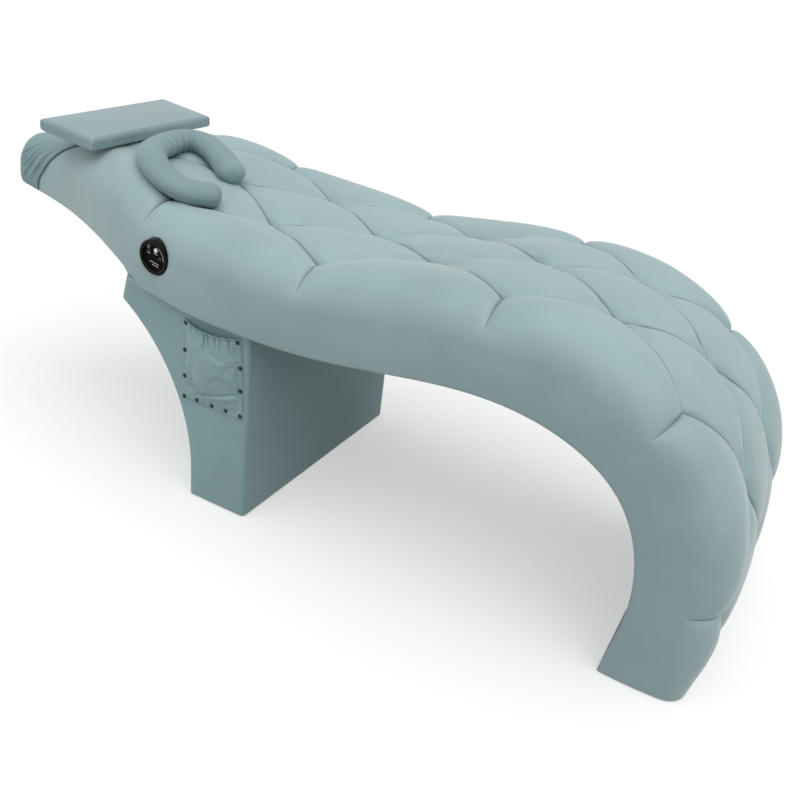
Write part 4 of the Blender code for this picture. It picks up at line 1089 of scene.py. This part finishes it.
class BED_OT_pedestal(bpy.types.Operator):
    """Leatherette sleeve of the pedestal with its thin padding"""

    bl_idname = "bed.pedestal"
    bl_label = "Pedestal cover"

    def execute(self, context):
        material = leatherette("pedestal_leatherette", colours().pedestal, rough=(0.44, 0.56))
        skins = [sleeve_rows(0.0), sleeve_rows(SLEEVE_WALL)]
        m, n = len(skins[0]), len(skins[0][0])
        inner = m * n
        faces = grid_faces(m, n, True) + [tuple(i + inner for i in f) for f in grid_faces(m, n, True)]
        for row in (0, m - 1):
            for j in range(n):
                a, b = row * n + j, row * n + (j + 1) % n
                faces.append((a, b, b + inner, a + inner))
        obj = piece("pedestal_sleeve", np.concatenate(skins[0] + skins[1]), faces, material)
        outward(obj)
        soften(obj, 0.0012, 80)
        dress(obj, "bed", "pedestal_leatherette", "pedestal_cover")
        return {"FINISHED"}


# Hood
def hood_reach(p):
    """Run of the hood's hem over its girth: far up on the lying face, short on the sides."""
    flat, side, hem = (float(x) for x in section_marks(HOOD_MARK)[:3])
    marks = [0, flat, (flat + side) / 2, side, (side + hem) / 2, hem]
    up = np.interp(np.abs(p) * hem, marks, [1, 1, 0.75, 0.5, 0.25, 0])
    return averaged(HOOD_SIDE + (HOOD_TOP - HOOD_SIDE) * up ** 2.4, 4)


def hood_skin(p, u):
    """Body under the hood at runs and shares of the hood's girth."""
    return skin(u, p * section_marks(u)[2])


def hood_folds(p, u, back):
    """Height of the folds on the hood's sides, none at the end and the hem and less at the underside."""
    lean = np.abs(p)
    on_side = ease((lean - 0.42) / 0.25) * (1 - 0.75 * ease((lean - 0.86) / 0.14))
    waves = wobble(back / 0.055, lean * 1.1, seed=4) * 0.55
    waves = waves + wobble(back / 0.024, lean * 0.8 + np.sign(p) * 0.3, seed=9) * 0.45
    fold = sizes().hood_fold * on_side * np.clip(waves + 0.25, 0, 1.2)
    return fold * ease(back / 0.016) * ease((u - 0.012) / 0.03)


def hood_rows():
    """Rows of the hood from the chord of its flat end, round the end and along to the hem."""
    p = np.linspace(-1, 1, HOOD_COLUMNS)
    reach = hood_reach(p)
    ring = hood_skin(p, np.zeros(HOOD_COLUMNS))[0]
    chord = ring[0] + (ring[-1] - ring[0]) * np.linspace(0, 1, HOOD_COLUMNS)[:, None]
    rows = [ring + (chord - ring) * f - (HOOD_GROW + HOOD_END, 0, 0) for f in np.linspace(1, 0, 9)[:-1]]
    runs = [np.full(HOOD_COLUMNS, END_ROUND * f) for f in HOOD_ENDS]
    runs += [END_ROUND + (reach - END_ROUND) * f for f in np.linspace(0, 1, HOOD_ROWS)[1:]]
    for u in runs:
        base, out = hood_skin(p, u)
        back = reach - u
        bead = 0.0016 * np.exp(-((back - 0.005) / 0.004) ** 2)
        row = base + out * (HOOD_GROW + hood_folds(p, u, back) + bead)[:, None]
        row[:, 0] -= HOOD_GROW * np.clip(1 - u / END_ROUND, 0, 1) + HOOD_END * ease(1 - u / 0.06)
        rows.append(row)
    return rows


class BED_OT_hood(bpy.types.Operator):
    """Stretch hood over the head end"""

    bl_idname = "bed.hood"
    bl_label = "Head hood"

    def execute(self, context):
        rows = hood_rows()
        faces = grid_faces(len(rows), HOOD_COLUMNS)
        obj = piece("hood_cloth", np.concatenate(rows), faces, woven("hood_cloth", colours().hood))
        outward(obj)
        points = coords(obj.data)
        if ((points - points.mean(0)) * normals(obj.data)).sum() < 0:
            obj.data.flip_normals()
        thicken(obj, HOOD_CLOTH * 0.8)
        dress(obj, "head_rest", "hood_cloth", "head_hood")
        return {"FINISHED"}


# Head pillow
def box_faces(nx, ny, nz):
    """Points of a block's surface from -1 to 1 on each axis, and its quads."""
    keys = {}
    faces = []

    def quad(start, first, second):
        corners = (start, start + first, start + first + second, start + second)
        faces.append([keys.setdefault(tuple(c), len(keys)) for c in corners])

    i1, j1, k1 = np.eye(3, dtype=int)
    for i in range(nx):
        for j in range(ny):
            for k in (0, nz):
                quad(np.array((i, j, k)), i1, j1)
    for i in range(nx):
        for k in range(nz):
            for j in (0, ny):
                quad(np.array((i, j, k)), i1, k1)
    for j in range(ny):
        for k in range(nz):
            for i in (0, nx):
                quad(np.array((i, j, k)), j1, k1)
    return np.array(list(keys), float) / (nx, ny, nz) * 2 - 1, faces


def pillow_form(share, r):
    """Places of the pillow's points about its middle: rounded edges, crown, drawn-in walls and puckers."""
    local = share * PILLOW_REACH
    core = np.clip(local, r - PILLOW_REACH, PILLOW_REACH - r)
    rest = local - core
    far = np.linalg.norm(rest, axis=1, keepdims=True)
    local = core + rest / np.maximum(far, 1e-9) * np.minimum(far, r)
    a, b, c = share.T
    local[:, 2] += np.where(c > 0, PILLOW_CROWN * (1 - a ** 4) * (1 - b ** 6) * c, 0)
    waist = PILLOW_WAIST * (1 - 0.5 * np.abs(c) ** 3)
    local[:, 0] -= a * waist * (1 - b ** 4) * np.abs(a) ** 6
    local[:, 1] -= b * waist * (1 - a ** 4) * np.abs(b) ** 6
    corner = np.hypot(*(PILLOW_REACH - np.abs(local)).T[:2])
    pucker = PUCKER_HIGH * np.exp(-(corner / PUCKER_REACH) ** 2) * np.sin(ROUND * corner / PUCKER_PITCH)
    pucker = pucker * (1 - np.abs(c) ** 4)
    local[:, 0] += np.sign(a) * pucker * (np.abs(a) > 0.999)
    local[:, 1] += np.sign(b) * pucker * (np.abs(b) > 0.999)
    return local


def lay_pillow(share, local):
    """The pillow's points turned and pitched on the hood, with a soft belly down to what lies below."""
    a, b, c = share.T
    cos, sin = math.cos(PILLOW_TURN), math.sin(PILLOW_TURN)
    x = PILLOW_X + local[:, 0] * cos - local[:, 1] * sin
    y = PILLOW_Y + local[:, 0] * sin + local[:, 1] * cos
    head_half = CREST[:LINE_STEPS // 2]
    foot = np.interp(PILLOW_X + PILLOW_LONG / 2, *head_half.T) + HOOD_GROW + 0.0003
    floor = foot + (PILLOW_LONG / 2 - local[:, 0]) * math.tan(PILLOW_PITCH) + local[:, 1] * PILLOW_LEAN
    under = ground(x, y, "hood_cloth", "upholstery")
    belly = np.where(under > 0, np.clip(floor - under - 0.0005, 0, 0.03), 0)
    belly = belly * (1 - ease((np.abs(b) - 0.22) / 0.66)) * (1 - ease((a - 0.1) / 0.6)) * ease((a + 1) / 0.5)
    z = floor + PILLOW_TALL / 2 + local[:, 2] - belly * np.clip((0.2 - c) / 1.2, 0, 1)
    return np.column_stack([x, y, z])


class BED_OT_head_pillow(bpy.types.Operator):
    """Slab pillow lying askew on the hood, its belly sunk on to it"""

    bl_idname = "bed.head_pillow"
    bl_label = "Head pillow"

    def execute(self, context):
        material = leatherette("pillow_leatherette", colours().pillow, seams=True)
        share, faces = box_faces(*PILLOW_CELLS)
        share[:, :2] = np.sign(share[:, :2]) * (1 - (1 - np.abs(share[:, :2])) ** 1.25)
        local = pillow_form(share, sizes().pillow_edge)
        obj = piece("head_pillow_pad", lay_pillow(share, local), faces, material)
        high = share[:, 2]
        # Distance in millimetres to the sewn line round the pillow's top: the leatherette darkens the top near
        # it as painted shade in the line's crease
        seam = np.min((PILLOW_REACH - np.abs(local))[:, :2], axis=1)
        seam = np.where(high > 0.2, np.abs(seam - PILLOW_SEAM), 0.05) * 1000 + 1.2
        attribute(obj.data, "seam", seam)
        outward(obj)
        swell(obj, np.nonzero((high < -0.2) | (seam < 2.4))[0], pressure=3.0, cap=0.004, sink=0.001)
        divide(obj)
        seat(obj, "hood_cloth", 0.0002)
        dress(obj, "head_rest", "pillow_leatherette", "head_pillow")
        return {"FINISHED"}


# Neck roll
def neck_path(radius):
    """Middle line of the neck roll, lying on the cover all along."""
    tree = tree_of(NODES["quilted_cover"])
    steps = np.linspace(-0.75, 0.75, 7) * radius
    spots = [(dx, dy, 1 - (dx * dx + dy * dy) / radius ** 2) for dx in steps for dy in steps]
    path = np.column_stack([smooth_path(NECK_LINE, NECK_RINGS), np.zeros(NECK_RINGS)])
    for p in path:
        for dx, dy, rest in spots:
            hit = tree.ray_cast(Vector((p[0] + dx, p[1] + dy, ABOVE)), DOWN, 1.0)[0] if rest > 0 else None
            if hit is not None:
                p[2] = max(p[2], hit.z + radius * NECK_FLAT * math.sqrt(rest))
    path[:, 2] = averaged(path[:, 2], 12)
    return path


def neck_rings(path, radius):
    """Rings of the neck roll with folds inside its bend and a sunk seam, and a round cap at both ends."""
    run = np.concatenate([[0], np.cumsum(np.linalg.norm(np.diff(path, axis=0), axis=1))])
    heading = unit(np.gradient(path, axis=0))
    across = unit(np.cross(heading, (0, 0, 1)))
    up = np.cross(across, heading)
    angle = np.linspace(0, ROUND, NECK_COLUMNS, endpoint=False)
    cos, sin = np.cos(angle), np.sin(angle)
    inner = np.clip(0.35 + cos, 0, 1) ** 1.2
    seam = np.abs(np.abs((angle - 0.35) % ROUND - math.pi)) * radius
    rings = []
    for i, share in enumerate(run / run[-1]):
        bend = math.exp(-((share - 0.52) / 0.25) ** 2)
        fold = np.clip(np.sin(ROUND * share * NECK_FOLDS + 1.8 * np.sin(9 * share)), 0, 1) ** 4
        r = radius * (1 - NECK_FOLD_DEEP * bend * inner * fold)
        r = r * (1 + 0.012 * wobble(share * 5.0, cos * 0.4, sin * 0.4, seed=3))
        r = r - 0.0016 * np.exp(-(seam / 0.0035) ** 2)
        rings.append(path[i] + across[i] * (cos * r)[:, None] + up[i] * (sin * r * NECK_FLAT)[:, None])
    caps = []
    for end, sign in ((0, -1), (-1, 1)):
        out = heading[end] * sign * radius * 0.8
        turns = np.linspace(0, 1, 9)[1:] * QUARTER * 0.97
        caps.append([
            path[end] + (rings[end] - path[end]) * math.cos(a) ** 0.8 + out * math.sin(a) for a in turns
        ])
    return caps[0][::-1] + rings + caps[1]


class BED_OT_neck_roll(bpy.types.Operator):
    """U-shaped neck roll lying on the upholstery"""

    bl_idname = "bed.neck_roll"
    bl_label = "Neck roll"

    def execute(self, context):
        material = woven("neck_pillow_cloth", colours().neck, pitch=0.0009)
        radius = sizes().neck_radius
        obj = tube("neck_roll_pad", neck_rings(neck_path(radius), radius), material)
        down = normals(obj.data)[:, 2] < -0.5
        swell(obj, np.nonzero(down)[0], pressure=1.0, cap=0.0015, shrink=-0.004, sink=0.002)
        divide(obj)
        seat(obj, "upholstery", 0.0004)
        dress(obj, "neck_roll", "neck_pillow_cloth", "neck_pillow")
        return {"FINISHED"}


# Pocket
def pouch_x(a, v):
    """Place along the pedestal of a share across the pocket, drawn in towards the mouth."""
    left = POCKET_X0 + 0.003 * v ** 3
    right = POCKET_X1 - 0.011 * v ** 2.5
    return left + (right - left) * a


def mouth_z(a):
    """Height of the sagging mouth."""
    return POCKET_Z1 + 0.003 * (1 - a) - MOUTH_SAG * np.sin(math.pi * np.clip(a, 0, 1)) ** 0.8


def pouch_z(a, v):
    """Height of a share of the way from the pocket's bottom to its mouth."""
    return POCKET_Z0 + (mouth_z(a) - POCKET_Z0) * v


def gathered(a, v):
    """Depth of the creases that hang from the mouth."""
    deep = 0 * a
    for at, down, most in GATHERS:
        drift = at + 0.014 * np.sin(9 * v + 40 * at)
        reach = np.clip((v - 1 + down) / down, 0, 1)
        deep = deep + 1.5 * most * reach * np.exp(-((a - drift) / 0.010) ** 2)
    return deep * ease((a - 0.03) / 0.04)


def swelling(x):
    """Quarter wave from 0 to 1."""
    return np.sin(np.clip(x, 0, 1) * QUARTER)


def ridge(x, wide):
    """Round ridge of height 1 along the line where x is 0."""
    return np.exp(-(x / wide) ** 2)


def pouch_out(a, v):
    """How far the pouch stands off: bulge bounded by a curved fold, with gathers below the mouth."""
    f = POCKET_FLANGE / (POCKET_X1 - POCKET_X0)
    low = POCKET_FLANGE / (POCKET_Z1 - POCKET_Z0)
    left = f + 0.30 * np.clip(1 - v / 0.62, 0, 1) ** 1.7
    right = 1 - f - 0.04 * np.clip(1 - v / 0.3, 0, 1) ** 2
    body = swelling((a - left) / 0.42) ** 0.55 * swelling((right - a) / 0.30) ** 0.6
    body = body * swelling((v - low) / 0.42) ** 0.6
    out = sizes().pocket_bulge * body * (1 - 0.30 * v) - gathered(a, v)
    out = out + 0.0052 * ridge(a - left - 0.035, 0.024) * ease((0.64 - v) / 0.16) * ease((v - 0.03) / 0.05)
    inside = ease((a - left) / 0.06) * ease((right - a) / 0.06) * ease((v - low) / 0.05)
    line = v - 0.15 - 0.28 * (a - 0.29)
    shown = ease((a - 0.25) / 0.15) * inside
    out = out + (0.0016 * ridge(line + 0.05, 0.03) - 0.0034 * ridge(line, 0.020)) * shown
    line = v - 0.07 - 0.50 * (a - 0.60)
    out = out - 0.0026 * ridge(line, 0.018) * ease((a - 0.58) / 0.15) * ease((0.93 - a) / 0.1)
    return np.maximum(out + 0.0016 * wobble(a * 1.6, v * 1.9, seed=12) * inside, 0)


def build_pouch(material):
    """Pouch as an open sheet with its sewn rim held and its bulge blown up."""
    share = np.linspace(0, 1, POUCH_COLUMNS)
    rows, seams, rims = [], [], []
    for v in np.linspace(0, 1, POUCH_ROWS):
        x = pouch_x(share, v)
        z = pouch_z(share, v)
        right = np.minimum(x[-1] - x, z - POCKET_Z0)
        rim = np.minimum(x - x[0], right)
        cloth = POCKET_CLOTH * (0.78 + 0.22 * ease(rim / 0.006))
        rows.append(np.column_stack([x, POCKET_FACE - cloth - pouch_out(share, v), z]))
        rims.append(rim)
        # Seam values: the leatherette darkens a line just inside the right and bottom edges and the gathers
        # below the mouth, as painted shade in their creases
        seams.append(np.minimum(np.abs(right - 0.0032) * 1800 + 1.6, 4.5 - 900 * gathered(share, v)))
    obj = piece("pocket_pouch", np.concatenate(rows), grid_faces(POUCH_ROWS, POUCH_COLUMNS), material)
    attribute(obj.data, "seam", np.concatenate(seams))
    if normals(obj.data)[:, 1].mean() > 0:
        obj.data.flip_normals()
    fixed = np.concatenate(rims) < POCKET_FLANGE - 0.001
    fixed[-2 * POUCH_COLUMNS:] = True
    swell(obj, np.nonzero(fixed)[0], pressure=0.6, cap=0.004, shrink=-0.03, sink=0.0015)
    return obj


def build_band(material):
    """Elastic in the mouth, with the gathers wrapped round it."""
    share = np.linspace(0.02, 0.98, BAND_RINGS)
    x = pouch_x(share, 1.0)
    y = POCKET_FACE - POCKET_CLOTH * 0.6 - pouch_out(share, 1.0)
    z = mouth_z(share) + 0.0012
    turn = ROUND * np.arange(BAND_COLUMNS) / BAND_COLUMNS
    rings = []
    for i in range(BAND_RINGS):
        size = BAND_RADIUS * (1 + 0.16 * math.sin(ROUND * x[i] / BAND_PITCH))
        size *= float(np.sqrt(np.clip(min(i, BAND_RINGS - 1 - i) / 4, 0.05, 1)))
        ring = [np.full(BAND_COLUMNS, x[i]), y[i] + size * np.cos(turn), z[i] + size * 1.2 * np.sin(turn)]
        rings.append(np.column_stack(ring))
    return tube("pocket_band", rings, material)


class BED_OT_pocket(bpy.types.Operator):
    """Gathered storage pocket on the near face of the pedestal"""

    bl_idname = "bed.pocket"
    bl_label = "Storage pocket"

    def execute(self, context):
        cloth = leatherette("pocket_cloth", colours().pocket, grain=780.0, seams=True, rough=(0.5, 0.64))
        obj = build_pouch(cloth)
        divide(obj)
        thicken(obj, POCKET_CLOTH * 0.7)
        dress(obj, "bed", "pocket_cloth", "storage_pocket")
        band = build_band(woven("pocket_elastic", scaled(colours().pocket, 0.9), pitch=0.0008))
        dress(band, "bed", "pocket_elastic", "pocket_elastic")
        return {"FINISHED"}


# Studs and stitches
def stud_heads(tree, start):
    """Flat dome with a rolled rim on each point."""
    radius = start.outputs["Radius"]
    ball = node(tree, "GeometryNodeMeshUVSphere", {"Segments": 24, "Rings": 12, "Radius": radius})
    dome = node(tree, "GeometryNodeTransform", {"Geometry": ball.outputs[0], "Scale": (1, 0.55, 1)})
    line = node(tree, "GeometryNodeCurvePrimitiveCircle", {"Resolution": 24, "Radius": radius})
    roll = math_of(tree, "MULTIPLY", radius, 0.22)
    profile = node(tree, "GeometryNodeCurvePrimitiveCircle", {"Resolution": 8, "Radius": roll})
    rim = node(tree, "GeometryNodeCurveToMesh", {0: line.outputs[0], "Profile Curve": profile.outputs[0]})
    upright = node(tree, "GeometryNodeTransform", {"Geometry": rim.outputs[0], "Rotation": (QUARTER, 0, 0)})
    both = tree.nodes.new("GeometryNodeJoinGeometry")
    for part in (dome, upright):
        tree.links.new(part.outputs[0], both.inputs[0])
    return {"Points": start.outputs["Geometry"], "Instance": both.outputs[0]}


def stitch_run(tree, start):
    """Long beads at an even pitch along the lines, each turned with its line."""
    radius = start.outputs["Radius"]
    bead = node(tree, "GeometryNodeMeshUVSphere", {"Segments": 8, "Rings": 6, "Radius": radius})
    long = node(tree, "GeometryNodeTransform", {"Geometry": bead.outputs[0], "Scale": (1, 1, 3.2)})
    line = node(tree, "GeometryNodeMeshToCurve", {0: start.outputs["Geometry"]})
    evenly = node(tree, "GeometryNodeResampleCurve", {0: line.outputs[0], "Length": start.outputs["Pitch"]},
                  mode="LENGTH")
    heading = tree.nodes.new("GeometryNodeInputTangent")
    turn = node(tree, "FunctionNodeAlignRotationToVector", {"Vector": heading.outputs[0]}, axis="Z")
    return {"Points": evenly.outputs[0], "Instance": long.outputs[0], "Rotation": turn.outputs[0]}


def repeat_tree(name, shapes):
    """Node tree that sets small shapes on a mesh's points or along its lines, and the names of its inputs."""
    tree = bpy.data.node_groups.new(name, "GeometryNodeTree")
    face = tree.interface
    face.new_socket(name="Geometry", in_out="INPUT", socket_type="NodeSocketGeometry")
    names = {}
    kinds = {"Radius": "NodeSocketFloat", "Pitch": "NodeSocketFloat", "Finish": "NodeSocketMaterial"}
    for label, kind in kinds.items():
        names[label] = face.new_socket(name=label, in_out="INPUT", socket_type=kind).identifier
    face.new_socket(name="Geometry", in_out="OUTPUT", socket_type="NodeSocketGeometry")
    start = tree.nodes.new("NodeGroupInput")
    spots = node(tree, "GeometryNodeInstanceOnPoints", shapes(tree, start))
    real = node(tree, "GeometryNodeRealizeInstances", {0: spots.outputs[0]})
    dressed = {"Geometry": real.outputs[0], "Material": start.outputs["Finish"]}
    finish = node(tree, "GeometryNodeSetMaterial", dressed)
    node(tree, "NodeGroupOutput", {0: finish.outputs[0]})
    return tree, names


def repeat(name, shapes, points, lines, material, **inputs):
    """Studs on points or stitches along lines, made by nodes and kept as a plain mesh."""
    mesh = bpy.data.meshes.new(name)
    mesh.from_pydata([tuple(map(float, p)) for p in points], lines, [])
    obj = linked(name, mesh)
    tree, names = repeat_tree(name + "_nodes", shapes)
    mod = obj.modifiers.new("Repeat", "NODES")
    mod.node_group = tree
    for label, value in {**inputs, "Finish": material}.items():
        mod[names[label]] = value
    bake(obj)
    if not len(obj.data.polygons):
        raise RuntimeError(f"{name} came out empty")
    return obj


class BED_OT_studs(bpy.types.Operator):
    """Studs round the pocket and its sewn hem"""

    bl_idname = "bed.studs"
    bl_label = "Studs and stitches"

    def execute(self, context):
        s = sizes()
        metal = speckled("stud_metal", (0.004, 0.004, 0.005), 300.0, 0.22, 0.0001, Specular_IOR_Level=0.3)
        y = POCKET_FACE - POCKET_CLOTH - 0.0003
        points = [(x, y, z) for x, z in STUDS]
        obj = repeat("pocket_studs", stud_heads, points, [], metal, Radius=s.stud_radius)
        dress(obj, "bed", "stud_metal", *[f"pocket_stud_{k:02d}" for k in range(1, 12)])

        thread = woven("sewing_thread", colours().thread, pitch=0.0004)
        y = POCKET_FACE - POCKET_CLOTH - 0.0002
        bottom = np.linspace(POCKET_X0 + STITCH_INSET, POCKET_X1 - STITCH_INSET, 30)
        points = [(x, y, POCKET_Z0 + STITCH_INSET) for x in bottom]
        points += [(pouch_x(1.0, v) - STITCH_INSET, y, pouch_z(1.0, v)) for v in np.linspace(0.02, 0.95, 40)]
        lines = [(i, i + 1) for i in range(len(points) - 1)]
        obj = repeat("pocket_stitches", stitch_run, points, lines, thread,
                     Radius=STITCH_RADIUS, Pitch=s.stitch_pitch)
        dress(obj, "bed", "pocket_cloth")
        return {"FINISHED"}


# Control
def on_disc(x, y, h):
    """Place on the control, to the right, up and out from its middle."""
    return CONTROL + CONTROL_RIGHT * x + CONTROL_UP * y + CONTROL_OUT * h


def arc(x, y, radius, start, end, steps=31):
    """Points of an arc on the disc."""
    return [(x + radius * math.cos(a), y + radius * math.sin(a)) for a in np.linspace(start, end, steps)]


def stroke(bm, points, wide=MARK_WIDE):
    """Raised mark along points on the disc."""
    points = [Vector((*p, 0)) for p in points]
    up = Vector((0, 0, MARK_THICK))
    rings = []
    for i, p in enumerate(points):
        d = (points[min(i + 1, len(points) - 1)] - points[max(i - 1, 0)]).normalized()
        side = Vector((-d.y, d.x, 0)) * wide / 2
        corners = (p - side, p + side, p + side + up, p - side + up)
        rings.append([bm.verts.new(on_disc(v.x, v.y, v.z + MARK_LOW)) for v in corners])
    for a, b in zip(rings, rings[1:]):
        for j in range(4):
            bm.faces.new((a[j], a[(j + 1) % 4], b[(j + 1) % 4], b[j]))
    bm.faces.new(rings[0])
    bm.faces.new(rings[-1])


def build_ring(material):
    """Domed gloss ring round the disc's face."""
    half = RING_RIM / 2
    profile = [(CONTROL_RADIUS - RING_RIM, RING_LOW), (CONTROL_RADIUS, RING_LOW)]
    for a in np.linspace(0, math.pi, 13):
        high = RING_LOW + RING_TALL * (0.15 + 0.85 * math.sin(a))
        profile.append((CONTROL_RADIUS - half + half * math.cos(a), high))
    turns = ROUND * np.arange(RING_SEGMENTS) / RING_SEGMENTS
    rows = [[on_disc(r * math.cos(t), r * math.sin(t), h) for t in turns] for r, h in profile + profile[:1]]
    obj = piece("control_ring", np.concatenate(rows), grid_faces(len(rows), RING_SEGMENTS, True), material)
    outward(obj)
    return obj


def build_marks_and_highlight(material):
    """Plain marks beside the keys: a broken ring, bars and two rows of dashes, and an arc along the face's edge
    that is a painted highlight.
    """
    bm = bmesh.new()
    stroke(bm, arc(-0.0165, 0.0180, 0.0030, 0.3, 5.5))
    # Painted highlight: a thin white arc where light catches the edge of the face
    stroke(bm, arc(0, 0, 0.0250, 0.05, 1.40), 0.0008)
    for x0, x1, y in ((-0.0185, -0.0110, 0.0045), (-0.0020, 0.0080, 0.0093)):
        stroke(bm, [(x0, y), (x1, y)], 0.0011)
    for first, count, y in ((-0.0100, 6, -0.0115), (-0.0020, 4, -0.0170)):
        for k in range(count):
            x = first + DASH_PITCH * k
            stroke(bm, [(x, y), (x + DASH_LONG, y)], DASH_WIDE)
    marks = from_bmesh("control_marks", bm, material)
    marks.data.shade_flat()
    return marks


class BED_OT_control(bpy.types.Operator):
    """Gloss ring, marks and a painted highlight of the control disc"""

    bl_idname = "bed.control"
    bl_label = "Control"

    def execute(self, context):
        gloss = speckled("control_gloss", (0.003, 0.003, 0.0033), 60.0, 0.2, 0.00002, contrast=0.05,
                         Specular_IOR_Level=0.08)
        dress(build_ring(gloss), "bed", "control_gloss", "control_bezel")
        white = speckled("white_key", (0.80, 0.82, 0.82), 500.0, 0.35, 0.00004, contrast=0.04)
        # The white finish serves the printed marks and the painted highlight arc alike
        dress(build_marks_and_highlight(white), "bed", "white_key")
        return {"FINISHED"}


# Frame and fittings
class BED_OT_finishes(bpy.types.Operator):
    """Finishes of the frame, boards, keys and fittings that the frame brings"""

    bl_idname = "bed.finishes"
    bl_label = "Frame finishes"

    def execute(self, context):
        made = {name: bpy.data.materials[name] for name in ("white_key", "body_leatherette")}
        made["birch_ply"] = wood("birch_ply", (0.62, 0.47, 0.30), (0.47, 0.33, 0.19), (1.2, 6.0, 6.0))
        made["pine_rail"] = wood("pine_rail", (0.66, 0.50, 0.29), (0.50, 0.34, 0.17), (7.0, 1.0, 7.0))
        for name, (rgb, scale, rough, more) in FITTINGS.items():
            made[name] = speckled(name, rgb, scale, rough, **more)
        for name, obj in NODES.items():
            if obj.hide_render:
                continue
            for slot in obj.material_slots:
                base = slot.material.name.split(".")[0] if slot.material else ""
                if base not in made:
                    raise RuntimeError(f"no finish for {name}: {base}")
                slot.material = made[base]
        return {"FINISHED"}


# Studio
def light_path(tree):
    """1 for rays that show the background itself, 0 for those that light the bed."""
    path = tree.nodes.new("ShaderNodeLightPath")
    total = path.outputs["Is Camera Ray"]
    for name in ("Is Glossy Ray", "Is Transmission Ray"):
        total = math_of(tree, "MAXIMUM", total, path.outputs[name])
    return total


def build_world():
    """Soft even light, white where the background itself shows."""
    world = bpy.data.worlds.new("studio")
    tree = empty_tree(world)
    seen = light_path(tree)
    strength = node(tree, "ShaderNodeMapRange", {"Value": seen, "To Min": 0.5, "To Max": 1.0})
    sky = tint(tree, seen, (0.95, 1.0, 1.01), (1, 1, 1))
    back = node(tree, "ShaderNodeBackground", {"Color": sky, "Strength": strength.outputs[0]})
    node(tree, "ShaderNodeOutputWorld", {"Surface": back.outputs[0]})
    return world


def build_floor(reach):
    """Wide pale floor that keeps the bed's shadow."""
    material = bpy.data.materials.new("studio_floor")
    tree = empty_tree(material)
    seen = light_path(tree)
    shade = tint(tree, seen, colours().floor, (0.95, 0.95, 0.95))
    diffuse = node(tree, "ShaderNodeBsdfDiffuse", {"Color": shade})
    white = node(tree, "ShaderNodeEmission", {"Color": (1, 1, 1, 1), "Strength": 1.0})
    share = math_of(tree, "MULTIPLY", seen, 0.45)
    both = node(tree, "ShaderNodeMixShader", {0: share, 1: diffuse.outputs[0], 2: white.outputs[0]})
    node(tree, "ShaderNodeOutputMaterial", {"Surface": both.outputs[0]})
    corners = [(x * reach, y * reach, 0) for x, y in ((-1, -1), (1, -1), (1, 1), (-1, 1))]
    return piece("studio_floor", corners, [(0, 1, 2, 3)], material)


def add_lamp(name, kind, energy, source, **settings):
    """A lamp whose light comes from the direction of the source."""
    light = bpy.data.lights.new(name, kind)
    light.energy = energy
    for key, value in settings.items():
        setattr(light, key, value)
    obj = linked(name, light)
    obj.rotation_euler = Vector(source).to_track_quat("Z", "Y").to_euler()
    return obj


def add_camera():
    """Camera at the photograph's viewing angle."""
    cos, sin = math.cos(CAMERA_AZIMUTH), math.sin(CAMERA_AZIMUTH)
    level = math.cos(CAMERA_ELEVATION)
    right = Vector((cos, sin, 0))
    back = Vector((sin * level, -cos * level, math.sin(CAMERA_ELEVATION)))
    up = back.cross(right)
    x = right * math.cos(CAMERA_ROLL) + up * math.sin(CAMERA_ROLL)
    y = up * math.cos(CAMERA_ROLL) - right * math.sin(CAMERA_ROLL)
    lens = bpy.data.cameras.new("studio_camera")
    lens.sensor_width = SENSOR
    lens.lens = CAMERA_FOCAL * SENSOR / FRAME_PIXELS
    lens.clip_end = 100
    camera = linked("studio_camera", lens)
    camera.matrix_world = Matrix.Translation(CAMERA_PLACE) @ Matrix((x, y, back)).transposed().to_4x4()
    return camera


class BED_OT_stage(bpy.types.Operator):
    """Pale floor, soft light and the camera"""

    bl_idname = "bed.stage"
    bl_label = "Studio"

    def execute(self, context):
        scene = context.scene
        scene.view_settings.view_transform = "Standard"
        scene.world = build_world()
        floor = build_floor(30.0)
        add_lamp("studio_key", "SUN", 2.1, (0.33, -0.22, 0.89),
                 color=(1.04, 1.0, 0.985), angle=math.radians(75))
        fill = add_lamp("studio_fill", "AREA", 8, (-1.2, -1.8, 0.7), size=1.6)
        fill.location = (-1.5, -2.0, 1.2)
        fill.visible_camera = False
        scene.camera = add_camera()
        return {"FINISHED"}


STEPS = (
    BED_OT_stage,
    BED_OT_upholstery,
    BED_OT_foam,
    BED_OT_pedestal,
    BED_OT_hood,
    BED_OT_head_pillow,
    BED_OT_neck_roll,
    BED_OT_pocket,
    BED_OT_studs,
    BED_OT_control,
    BED_OT_finishes,
)


class BED_PT_panel(bpy.types.Panel):
    """Lists the pieces of the bed"""

    bl_idname = "BED_PT_panel"
    bl_label = "Eyelash extension bed"
    bl_space_type = "VIEW_3D"
    bl_region_type = "UI"
    bl_category = "Bed"

    def draw(self, context):
        for step in STEPS:
            self.layout.operator(step.bl_idname)
        for group in (context.scene.bed_sizes, context.scene.bed_colours):
            for name in group.__annotations__:
                self.layout.prop(group, name)


CLASSES = (BedSizes, BedColours, *STEPS, BED_PT_panel)


def register():
    for cls in CLASSES:
        bpy.utils.register_class(cls)
    bpy.types.Scene.bed_sizes = bpy.props.PointerProperty(type=BedSizes)
    bpy.types.Scene.bed_colours = bpy.props.PointerProperty(type=BedColours)


def unregister():
    del bpy.types.Scene.bed_colours
    del bpy.types.Scene.bed_sizes
    for cls in reversed(CLASSES):
        bpy.utils.unregister_class(cls)


def main():
    register()
    for step in STEPS:
        group, name = step.bl_idname.split(".")
        getattr(getattr(bpy.ops, group), name)()


if __name__ == "__main__":
    main()
